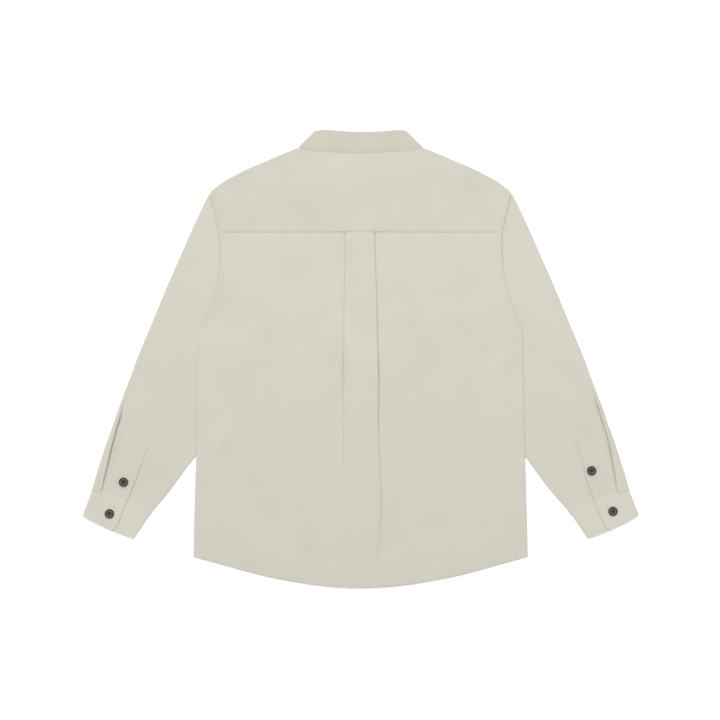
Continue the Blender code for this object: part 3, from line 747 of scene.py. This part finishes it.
# Height at the outer edge, strip width, turn in degrees, cloth that returns, cloth in the bend
SLEEVE_PLEAT = {
    -1: ((-62, 5.2, 1, 0, 0.8), (-82, 5.4, 60, 0.4, 2), (-111, 7, 168, 2, 4.2),
         (-142, 9.6, 180, 5, 5.4), (-175, 13.2, 180, 8.5, 4.2), (-219, 15.8, 180, 11.5, 1.8)),
    1: ((-36, 6.2, 1, 0, 0.8), (-55.5, 5.6, 50, 0.4, 1.8), (-82, 5, 150, 1.2, 3.2),
        (-111, 6, 180, 3.5, 4.4), (-142, 9.4, 180, 7, 4.6), (-175, 14.6, 180, 10.5, 3.6),
        (-219, 20.2, 180, 13, 1.8))}
SLEEVE_FOLDS = {
    -1: ((300, 190, 372, -20, 22, 0.9), (286, 120, 352, -90, 20, 0.8),
         (330, 110, 400, -120, 16, 0.5), (340, -70, 400, -210, 14, 0.6),
         (300, 40, 330, -90, 16, 0.6), (369, -2, 389, -62, 6, -0.55)),
    1: ((304, 186, 366, 0, 22, 0.9), (286, 110, 350, -70, 22, 0.7), (352, 60, 396, -90, 14, 0.6),
        (345, -50, 396, -200, 16, 0.6), (310, 20, 338, -100, 14, 0.6),
        (358, 30, 380, -38, 6, -0.55))}
# Outer and inner corner of the cuff at its seam, and of each cuff at its hem
CUFF = {"seam": ((455.6, -219.0), (355.4, -258.9)),
        -1: ((473, -265.6), (386, -304.8)), 1: ((473, -264), (386.4, -304.6))}


def cuff_distance(x, y):
    """Distance of a point of the sleeve above the cuff seam."""
    (ax, ay), (bx, by) = CUFF["seam"]
    w = math.hypot(bx - ax, by - ay)
    return ((x - ax) * (by - ay) - (y - ay) * (bx - ax)) / w


def sleeve_z(x, y, side):
    """Middle of the upper side of a sleeve, x counted from the centre outward."""
    above = cuff_distance(x, y)
    free = ease(7, 34, x - half_width(y)) * ease(8, 40, above)
    soft = 0.7 + folds(x, y, SLEEVE_FOLDS[side]) + unrest(x, y, 42, 0.3, 1.1 + side)
    # distance along the cuff seam from its outer corner
    across = (CUFF["seam"][0][0] - x) * 0.926 + (CUFF["seam"][0][1] - y) * 0.376
    bulge = 0.45 + 0.45 * fall(58, 66, across)
    near = fall(0, 26, above)
    return BACK_Z + free * soft + near * (0.3 + bulge * ease(-2.5, 0, above))


def sleeve_low(x, y):
    """Middle of the lower side, which runs up under the front along the armhole."""
    tucked = fall(0, 14, x - half_width(y)) * ease(54, 78, y)
    return FRONT_Z + 0.8 * tucked + 1.1 * fall(-1.5, 9, cuff_distance(x, y))


# %% Sleeve rings
ring_t = spaced((0, 48), (HOLE_END, 88), (18.6, 6), (SLEEVE_END,))
TUCK_IN = np.array([-8, -5, -2.5])        # rows that run in under the body
TUCK_OUT = np.array([2, 4, 6])            # rows that run into the cuff


def outward(t, first, flip):
    """Unit normal of an edge of the sleeve: the outer one has first 0, the inner one 2."""
    fine = np.linspace(0, SLEEVE_END, 400)
    normal = left_of(*along(SLEEVE, fine)[first:first + 2])
    return [np.interp(t, fine, n * flip)[:, None] for n in normal]


def rolled(bx, by, normal, radius, a, mid):
    """Round an edge of the tube from its upper to its lower side."""
    push = radius * np.sin(a) - CLOTH / 2 - radius
    return bx + normal[0] * push, by + normal[1] * push, mid + radius * np.cos(a)


def sleeve_points(side):
    """Rings of points from the armhole to the cuff."""
    t = np.concatenate([np.zeros(3), ring_t, np.full(3, SLEEVE_END)])
    ox, oy, ix, iy = along(SLEEVE, t)
    ix = ix - (2.3 + 1.1 * side) * np.exp(-((iy + 200) / 40) ** 2)
    out_n, in_n = outward(t, 0, 1), outward(t, 2, -1)
    rest = np.zeros(len(ring_t) + 3)
    tuck_in, tuck_out = np.concatenate([TUCK_IN, rest]), np.concatenate([rest, TUCK_OUT])
    ox, oy = ox + tuck_in * 0.75 + tuck_out * 0.37, oy - tuck_in * 0.1 - tuck_out * 0.93
    ix, iy = ix + tuck_in * 0.96 + tuck_out * 0.37, iy - tuck_in * 0.25 - tuck_out * 0.93
    ox, oy, ix, iy = (v[:, None] for v in (ox, oy, ix, iy))
    t = t[:, None]
    width = np.hypot(ix - ox, iy - oy)
    ux, uy = (ix - ox) / width, (iy - oy) / width
    pleat = SLEEVE_PLEAT[side]
    strip, turn, back, bend = (column(pleat, oy, c) for c in (1, 2, 3, 4))
    fx, fz = fold(turn, back, bend)
    strip = strip - fx.max(axis=1, keepdims=True) + 0.5
    height = -fz[:, -1:]
    hole = t < HOLE_END
    top_z = sleeve_z(ox, oy, side) + height
    low_z = sleeve_low(ox, oy)
    out_r = (top_z - low_z) / 2
    in_top, in_low = sleeve_z(ix, iy, side), sleeve_low(ix, iy)
    in_r = (in_top - in_low) / 2
    start = CLOTH / 2 + out_r
    edge = np.maximum(strip, start + 1.5)
    inner = edge + fx[:, -1:]
    stop = width - np.where(hole, 0, CLOTH / 2 + in_r)
    panel = spaced((0, 30), (0.88, 8), (1,))[1:]
    d = np.hstack([start + (edge - start) * np.linspace(0.25, 1, 4), edge + fx,
                   inner + (stop - inner) * panel])
    dz = np.hstack([height + 0 * edge * np.ones(4), height + fz, 0 * stop * panel])
    x, y = ox + ux * d, oy + uy * d
    past = d - inner
    swell = 0.32 * np.exp(-((past - 10) / 6) ** 2) - 0.24 * np.exp(-(past / 5) ** 2)
    z = sleeve_z(x, y, side) + dz + height * swell * (d > edge + 0.1) * ease(
        4, 30, cuff_distance(x, y))
    low_d = start + (stop - start) * panel[::-1]
    low_x, low_y = ox + ux * low_d, oy + uy * low_d
    low = sleeve_low(low_x, low_y)
    a = np.linspace(0, math.pi, 8)
    in_b = rolled(ix, iy, in_n, in_r, a[1:], in_low + in_r)
    # along the armhole the two sides run in under the body instead of joining
    lap = LAP * fall(6.9, 7.95, t)
    reach = np.array([0.3, 0.65, 1, 1, 0.65, 0.3, 0])
    lap_x, lap_y = ix + in_n[0] * lap * reach, iy + in_n[1] * lap * reach
    lap_z = np.where(np.arange(7) < 3, in_top + 0 * lap, in_low + 0 * lap)
    blend = ease(7, 8, t)
    in_b = [p * (1 - blend) + q * blend for p, q in zip((lap_x, lap_y, lap_z), in_b)]
    out_b = rolled(ox, oy, out_n, out_r, a[::-1], low_z + out_r)
    ring = [np.hstack(parts) for parts in zip((x, y, z), in_b, (low_x, low_y, low), out_b)]
    ring = [np.hstack([r, r[:, :1]]) for r in ring]
    return np.dstack([side * ring[0], ring[1], ring[2]]), t, x.shape[1]


for side, name in ((-1, "sleeve_left"), (1, "sleeve_right")):
    points, t, top_cols = sleeve_points(side)
    open_cols = np.zeros(points.shape[:2], bool)
    open_cols[:, top_cols + 2:top_cols + 4] = t < HOLE_END + 0.01
    sleeve = cloth(name + "_tube", points, ring=True, drop=open_cols)
    belongs(sleeve, COTTON, name)

# %% [markdown]
# ## Cuffs and plackets
# The cuff is two layers with interlining, so it is thicker and smoother than the sleeve.
# It wraps the sleeve end, its over end lapping the under end. The placket is the narrow
# strip that finishes the sleeve opening above it.

# %% Cuffs
CUFF_OVER = 61.5
CUFF_UNDER = 30.0
CUFF_BOW = {-1: 2.7, 1: 2.9}
CUFF_WALL = 1.1
CUFF_LOW, CUFF_MID, CUFF_HIGH = 0.7, 3.25, 4.45


def cuff_ends(v, side):
    """Outer and inner edge of the cuff and its width, v from 0 at the seam to 1 at the hem."""
    (ax, ay), (bx, by) = CUFF["seam"]
    (cx, cy), (ex, ey) = CUFF[side]
    sx, sy, tx, ty = ax + (cx - ax) * v, ay + (cy - ay) * v, bx + (ex - bx) * v, by + (ey - by) * v
    return sx, sy, tx, ty, np.hypot(tx - sx, ty - sy)


def cuff_point(d, v, side):
    """Point of the cuff: distance from its outer edge, share from seam to hem."""
    sx, sy, tx, ty, w = cuff_ends(v, side)
    f = d / w
    bow = CUFF_BOW[side] * 4 * f * (1 - f) * v
    ux, uy = (tx - sx) / w, (ty - sy) / w
    return sx + ux * d - uy * bow, sy + uy * d + ux * bow


def cuff_points(side):
    v = spaced((-0.03, 5), (0.12, 14), (0.84, 10), (1,))[:, None]
    w = cuff_ends(v, side)[4]
    trim = np.interp(v, (0, 0.8, 0.93, 1), (0, 0.6, 2.8, 7.6))
    out_r, in_r = (CUFF_HIGH - CUFF_LOW) / 2, (CUFF_MID - CUFF_LOW) / 2
    start, stop = CUFF_LOW + out_r, w - CUFF_LOW - in_r
    over = spaced((0, 6), (0.12, 18), (1,))
    a = np.linspace(0, math.pi, 10)[1:-1]
    span = np.linspace(0, 1, 26)
    over_end, under_end = CUFF_OVER - trim, CUFF_UNDER + trim * 0.6
    d = [over_end + (start - over_end) * over, start - out_r * np.sin(a) + 0 * v,
         start + (stop - start) * span, stop + in_r * np.sin(a),
         stop + (under_end - stop) * span]
    z = [CUFF_HIGH + 0 * d[0], CUFF_LOW + out_r + out_r * np.cos(a) + 0 * v,
         CUFF_LOW + 0 * d[2], CUFF_LOW + in_r - in_r * np.cos(a) + 0 * v, CUFF_MID + 0 * d[4]]
    d, z = np.concatenate(d, axis=1), np.concatenate(z, axis=1)
    z = z - fall(-0.03, 0.12, v) * 0.75 * ease(1.5, 4.4, z)
    z[:, :len(over)] += 0.8 * fall(0, 0.12, over) * ease(0, 0.12, v)
    x, y = cuff_point(d, v, side)
    return np.dstack([side * x, y, z])


for side, name in ((-1, "cuff_left"), (1, "cuff_right")):
    cuff = cloth(name + "_band", cuff_points(side), wall=CUFF_WALL)
    belongs(cuff, PRESSED, name)

# %% Plackets
PLACKET_W = 28.0
# Edge toward the body, from the top to the cuff: x, y
PLACKET = {
    -1: ((361.4, -148.8), (367.5, -163.5), (372.6, -177.3), (378.2, -192), (383, -205.9),
         (393, -229.5), (397.6, -241.2), (401, -249.6)),
    1: ((359.2, -127.8), (365.5, -141), (370.6, -153.9), (379.3, -181.6), (384.4, -204.2),
        (393.5, -229), (398.6, -240.8), (402.2, -249.2))}


def placket_points(side):
    edge_x, edge_y = along(PLACKET[side], np.linspace(0, 6.3, 60))
    nx, ny = left_of(edge_x, edge_y)
    f = spaced((0, 4), (0.12, 10), (0.88, 4), (1,)) * PLACKET_W
    x, y = edge_x[:, None] + nx[:, None] * f, edge_y[:, None] + ny[:, None] * f
    down = run_of(edge_x, edge_y)[:, None]
    level = ease(0, 5, down) * (1 - 0.9 * ease(15, 27, f))
    above = cuff_distance(x, y)
    off = 0.95 + 0.8 * ease(26, 60, down) * fall(1, 7, f)
    z = sleeve_z(x, y, side) + off * level - 0.5 * level * fall(0, 14, above)
    return np.dstack([side * x, y, z])


for side, name in ((-1, "placket_left"), (1, "placket_right")):
    placket = cloth(name + "_strip", placket_points(side), wall=0.9)
    belongs(placket, COTTON, name)

# %% [markdown]
# ## Topstitching
# Lockstitch shows as a row of short threads, each pulled a little into the cloth. Shirts
# have about eight to the inch; here they are 3.4 mm apart so that they show. One stitch
# is modelled and then repeated along every seam, laid on the cloth by a ray from the
# needle's side.

# %% Cloth that the needle meets
def skin(pieces):
    """A search tree of the finished pieces."""
    points, faces = [], []
    for piece in pieces:
        first = len(points)
        points += [v.co for v in piece.data.vertices]
        faces += [[first + i for i in f.vertices] for f in piece.data.polygons]
    return BVHTree.FromPolygons(points, faces)


def height_at(x, y, below=False):
    """Height in millimetres of the cloth met at x, y from above or from below."""
    start, way = (-50, 1) if below else (80, -1)
    hit = CLOTH_TREE.ray_cast(Vector((x, y, start)) * MM, Vector((0, 0, way)))[0]
    return None if hit is None else hit.z / MM


def beside(x, y, away):
    """The line x, y moved sideways, to its left as it runs."""
    nx, ny = left_of(x, y)
    return x + nx * away, y + ny * away


CLOTH_TREE = skin([p for p in bpy.context.scene.objects if p.name in CLOTH_PIECES])
print("cloth pieces:", len(CLOTH_PIECES))

# %% One stitch
PITCH = 3.4           # from one stitch to the next
STITCH = 2.5          # length of one stitch


def yarn(name, colour, rough):
    """Spun polyester thread: smooth, with the fine ribs of its spin, 0.4 mm apart, painted as
    bands of shade.
    """
    material, tree, shader = principled(name, {"Roughness": rough, "IOR": 1.54})
    where = node(tree, "ShaderNodeTexCoord")
    twist_shade = node(tree, "ShaderNodeTexWave", {"bands_direction": "DIAGONAL"},
                 Vector=where.outputs["Object"], Scale=WAVE / (0.4 * MM))
    # the grooves between the ribs are painted shade: darker bands in the thread's colour
    tone = two_tone(tree, twist_shade.outputs["Fac"], darker(colour, 0.86), linear(colour))
    tree.links.new(tone, shader.inputs["Base Color"])
    return material


THREAD = yarn("polyester_thread_cream", "#CBC7B8", 0.6)
DARK_THREAD = yarn("polyester_thread_black", "#17171A", 0.5)
bpy.ops.mesh.primitive_uv_sphere_add(segments=6, ring_count=4, radius=1)
stitch = bpy.context.object
bpy.ops.object.mode_set(mode="EDIT")
bpy.ops.transform.rotate(value=math.pi / 2, orient_axis="Y", center_override=(0.0, 0.0, 0.0))
bpy.ops.object.mode_set(mode="OBJECT")
STITCH_POINTS = np.array([v.co for v in stitch.data.vertices])
STITCH_FACES = [list(f.vertices) for f in stitch.data.polygons]
bpy.data.objects.remove(stitch, do_unlink=True)


def sewn(name, places, material, thick=0.42):
    """One joined mesh of stitches. A place is x, y, height, length, angle and slope."""
    points, faces = [], []
    for k, (x, y, z, length, angle, slope) in enumerate(places):
        p = STITCH_POINTS * (length / 2, thick / 2, thick / 2)
        c, w = math.cos(angle), math.sin(angle)
        points.append(np.stack([x + p[:, 0] * c - p[:, 1] * w, y + p[:, 0] * w + p[:, 1] * c,
                                z + p[:, 2] + p[:, 0] * slope], axis=1))
        first = k * len(STITCH_POINTS)
        faces += [[first + i for i in f] for f in STITCH_FACES]
    mesh = bpy.data.meshes.new(name)
    mesh.from_pydata((np.concatenate(points) * MM).tolist(), [], faces)
    mesh.polygons.foreach_set("use_smooth", [True] * len(faces))
    piece = bpy.data.objects.new(name, mesh)
    bpy.context.scene.collection.objects.link(piece)
    belongs(piece, material)


def stitches(x, y, below=False):
    """Places of the stitches along a line, laid on the cloth."""
    x = settled(x, y)
    run = run_of(x, y)
    places = []
    for s in np.arange(PITCH / 2, run[-1], PITCH):
        a, b = ([np.interp(s + d, run, v) for v in (x, y)] for d in (-STITCH / 2, STITCH / 2))
        za, zb = height_at(*a, below), height_at(*b, below)
        # no stitch where the line leaves the cloth or crosses a step in it
        if za is None or zb is None or abs(za - zb) > 1.2:
            continue
        angle = math.atan2(b[1] - a[1], b[0] - a[0])
        z = (za + zb) / 2 + (0 if below else 0.06)
        places.append(((a[0] + b[0]) / 2, (a[1] + b[1]) / 2, z, STITCH, angle,
                       (zb - za) / STITCH))
    return places


# %% Seams on the back
line = np.linspace(-1, 1, 120)
arm_y = np.linspace(276, 60, 90)
places = stitches(line * 231, YOKE_SEAM_Y + 5.8 + 0 * line)
places += stitches(line * 279.5, hem(line * 279.5, HEM_BACK_Y) + 4.7)
for side in (-1, 1):
    x, y = beside(half_width(arm_y), arm_y, -5.2)
    places += stitches(side * x, y)
x = line * 71
places += stitches(x, through(COLLAR_TOP, 0, 1, x) - 5)
x = line * 98
places += stitches(x, through(BACK_NECK, 0, 1, np.abs(x)) + 2.2)
sewn("stitching_back", places, THREAD)

# %% Seams on the cuffs and plackets
places = []
for side in (-1, 1):
    for v, first, last in ((0.07, 1.5, 57), (0.88, 1, 54.5), (0.07, 65, 101),
                           (0.88, 64.5, 93)):
        x, y = cuff_point(np.linspace(first, last, 40), v, side)
        places += stitches(side * x, y)
    x, y = cuff_point(57 + 0 * line, np.interp(line, (-1, 1), (0.08, 0.84)), side)
    places += stitches(side * x, y)
    edge = along(PLACKET[side], np.linspace(0.05, 6, 60))
    (x0, y0), (x1, y1) = beside(*edge, 2.4), beside(*edge, PLACKET_W - 3.5)
    places += stitches(side * x0, y0) + stitches(side * x1, y1)
    for at in (1, 9):
        places += stitches(side * np.array([x0[at], x1[at]]), np.array([y0[at], y1[at]]))
sewn("stitching_cuffs", places, THREAD)

# %% Seams that face the surface
places = []
down = np.linspace(266, -366, 160)
for x0 in (-12.5, 12.5):
    places += stitches(x0 + 0 * down, down, True)
x = line * 279.5
places += stitches(x, hem(x, HEM_FRONT_Y) + 4.7, True)
for side in (-1, 1):
    x, y = beside(half_width(arm_y), arm_y, -5.2)
    places += stitches(side * x, y, True)
    x = np.linspace(110, 240, 60)
    end_x, end_y = flap_end(x)
    places += stitches(side * end_x, end_y + 2.4, True)
    nx, ny, tx, ty = along(FRONT_NECK, np.linspace(0.5, 7.6, 90))
    for share in (0.1, 0.87):
        places += stitches(side * (nx + (tx - nx) * share), ny + (ty - ny) * share, True)
    for v in (0.07, 0.88):
        x, y = cuff_point(np.linspace(3, 95, 50), v, side)
        places += stitches(side * x, y, True)
sewn("stitching_underneath", places, THREAD)

# %% [markdown]
# ## Buttons
# The buttons are turned from black polyester resin: a rounded rim, a dished ring of a
# lighter grey, and four holes sewn with black thread. Eleven are alike, so one is
# modelled and copied. Each stands on a short shank of thread over its buttonhole.

# %% Materials of the button
def resin(name, colour, rough):
    """Cast polyester, tumbled to a satin: dark, with a fine haze."""
    material, tree, shader = principled(name, {"IOR": 1.55, "Specular IOR Level": 0.3})
    where = node(tree, "ShaderNodeTexCoord")
    haze = node(tree, "ShaderNodeTexNoise", None, Vector=where.outputs["Object"],
                Scale=0.5 / MM, Detail=3)
    tone = two_tone(tree, haze.outputs["Fac"], darker(colour, 0.8), linear(colour))
    rub = times_plus(tree, haze.outputs["Fac"], 0.2, rough - 0.1)
    tree.links.new(tone, shader.inputs["Base Color"])
    tree.links.new(rub, shader.inputs["Roughness"])
    return material


RESIN = resin("polyester_resin_black", "#141312", 0.5)
# a lighter grey resin for the dished ring
GREY_RING = resin("polyester_resin_grey_ring", "#5A5957", 0.6)

# %% One button, face up on the origin
HOLE_AT = 1.45        # from the centre to each hole, across and up


def rod(vertices, radius, depth, x=0, y=0, z=0, turn=0):
    """A cylinder, its sizes and place in millimetres, turned about Y."""
    bpy.ops.mesh.primitive_cylinder_add(
        vertices=vertices, radius=radius * MM, depth=depth * MM,
        location=(x * MM, y * MM, z * MM), rotation=(0, turn, 0))
    return bpy.context.object


button = rod(40, BUTTON_D / 2, BUTTON_T, z=BUTTON_T / 2)
bpy.ops.object.transform_apply(location=True)
choose_faces(button.data, lambda face: face.normal.z > 0.9)
bpy.ops.mesh.inset(thickness=1.5 * MM)                       # the rim
bpy.ops.mesh.inset(thickness=0.5 * MM, depth=-0.6 * MM)      # down into the dish
bpy.ops.mesh.inset(thickness=2.1 * MM)                       # the dished ring
bpy.ops.mesh.inset(thickness=0.3 * MM, depth=-0.25 * MM)     # the sunk middle
bpy.ops.object.mode_set(mode="OBJECT")
soft = button.modifiers.new("rounded", "BEVEL")
soft.width, soft.segments, soft.limit_method = 0.35 * MM, 3, "ANGLE"
bpy.ops.object.modifier_apply(modifier=soft.name)
for sx in (-1, 1):
    for sy in (-1, 1):
        drill = rod(14, 0.85, 8, sx * HOLE_AT, sy * HOLE_AT, BUTTON_T / 2)
        cut = button.modifiers.new("hole", "BOOLEAN")
        cut.operation, cut.object, cut.solver = "DIFFERENCE", drill, "EXACT"
        with bpy.context.temp_override(object=button, active_object=button):
            bpy.ops.object.modifier_apply(modifier=cut.name)
        bpy.data.objects.remove(drill, do_unlink=True)
for material in (RESIN, GREY_RING, DARK_THREAD):
    button.data.materials.append(material)
# the flat faces of the dished ring take the lighter grey resin
for face in button.data.polygons:
    grey_ring = 3.6 * MM < face.center.xy.length < 5.9 * MM and face.normal.z > 0.9
    face.material_index = int(grey_ring)
THREAD_Z = BUTTON_T - 0.68
threads = [rod(10, 0.42, 3.9, 0, sy * HOLE_AT, THREAD_Z, math.pi / 2) for sy in (-1, 1)]
threads.append(rod(12, 1.3, 0.9, z=-0.2))     # the shank
for thread in threads:
    thread.data.materials.append(DARK_THREAD)
for part in [button] + threads:
    part.select_set(True)
bpy.context.view_layer.objects.active = button
bpy.ops.object.join()
bpy.ops.object.transform_apply(location=True, rotation=True, scale=True)
bpy.ops.object.shade_smooth_by_angle(angle=math.radians(40))
print("button:", len(button.data.polygons), "faces")

# %% Buttons in their places
FRONT_BUTTONS = [("front_button_%d" % (k + 1), 0.0, 243.0 - 88.0 * k, 90.0) for k in range(6)]
FACE_DOWN = FRONT_BUTTONS + [("collar_button", 0.0, 289.0, 0.0)]
FACE_UP = [
    ("placket_button_left", -402.9, -208.4, 110.0), ("cuff_button_left", -426.7, -262.0, 22.0),
    ("placket_button_right", 392.5, -189.0, 70.0), ("cuff_button_right", 428.7, -257.9, -22.0)]


def place_button(name, x, y, angle, below):
    piece = bpy.data.objects.new(name + "_turned", button.data.copy())
    bpy.context.scene.collection.objects.link(piece)
    turn = Matrix.Rotation(math.radians(angle), 4, "Z")
    if below:
        z = BUTTON_T
        turn = Matrix.Rotation(math.pi, 4, "X") @ turn
    else:
        around = ((0, 0), (5, 0), (-5, 0), (0, 5), (0, -5))
        z = 0.4 + max(height_at(x + dx, y + dy) for dx, dy in around)
    piece.data.transform(Matrix.Translation((x * MM, y * MM, z * MM)) @ turn)
    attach(piece, "root")
    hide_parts(name)


holes = []
for below, rows in ((True, FACE_DOWN), (False, FACE_UP)):
    for name, x, y, angle in rows:
        place_button(name, x, y, angle, below)
        a = math.radians(angle)
        c, w = math.cos(a), math.sin(a)
        for along_hole in np.arange(-9.2, 9.3, 0.5):
            for across in (-1.1, 1.1):
                px = x + along_hole * c - across * w
                py = y + along_hole * w + across * c
                z = height_at(px, py, below)
                holes.append((px, py, z + (-0.05 if below else 0.05), 2, a + math.pi / 2, 0))
bpy.data.objects.remove(button, do_unlink=True)
sewn("buttonholes", holes, THREAD, thick=0.5)

# %% [markdown]

# %% [markdown]
# ## The floor, the light and the camera
# The jacket lies on a white studio table. A wide soft light comes from above, a little from
# the left, a panel stands beyond the collar, and a pale surround fills the shadows. The
# camera looks straight down from about 3 m.

# %% Floor
bpy.ops.mesh.primitive_plane_add(size=8, location=(0, 0, 0))
floor = bpy.context.object
floor.name = "studio_table"
floor.data.materials.append(principled("white_paper_sweep", {
    "Base Color": linear("#FEFEFE"), "Roughness": 0.9, "Specular IOR Level": 0.2})[0])

# %% Light
world = bpy.data.worlds.new("pale_surround")
bpy.context.scene.world = world
world.use_nodes = True
world.node_tree.nodes["Background"].inputs["Color"].default_value = linear("#FFFFFF")
world.node_tree.nodes["Background"].inputs["Strength"].default_value = 0.55
bpy.ops.object.light_add(type="SUN", location=(0.0, 0.4, 3.0))
key = bpy.context.object
key.name = "soft_key"
key.data.angle = math.radians(50)
key.data.energy = 1.45
key.rotation_euler = Vector((0.16, -0.18, -1)).to_track_quat("-Z", "Y").to_euler()
bpy.ops.object.light_add(type="AREA", location=(0.0, 1.7, 2.0))
panel = bpy.context.object
panel.name = "collar_end_panel"
panel.data.shape = "RECTANGLE"
panel.data.size, panel.data.size_y = 3, 1.2
panel.data.energy = 29.5
panel.rotation_euler = Vector((0, -1.5, -2)).to_track_quat("-Z", "Y").to_euler()
bpy.context.scene.view_settings.view_transform = "Standard"

# %% Camera
MM_PER_PIXEL = 1.7
FRAME_MM = 720 * MM_PER_PIXEL
LENS, SENSOR = 85, 36
TABLE_TO_BACK = 4.0   # the scale holds at this height, on the upper side of the jacket
camera_data = bpy.data.cameras.new("photo_camera")
camera_data.lens = LENS
camera_data.sensor_width = SENSOR
camera = bpy.data.objects.new("photo_camera", camera_data)
bpy.context.scene.collection.objects.link(camera)
distance = FRAME_MM / 2 / (SENSOR / 2 / LENS)
camera.location = (-1 * MM, -0.85 * MM, (distance + TABLE_TO_BACK) * MM)
camera_data.clip_end = 20
bpy.context.scene.camera = camera
print("camera height:", round(camera.location.z, 3), "m")
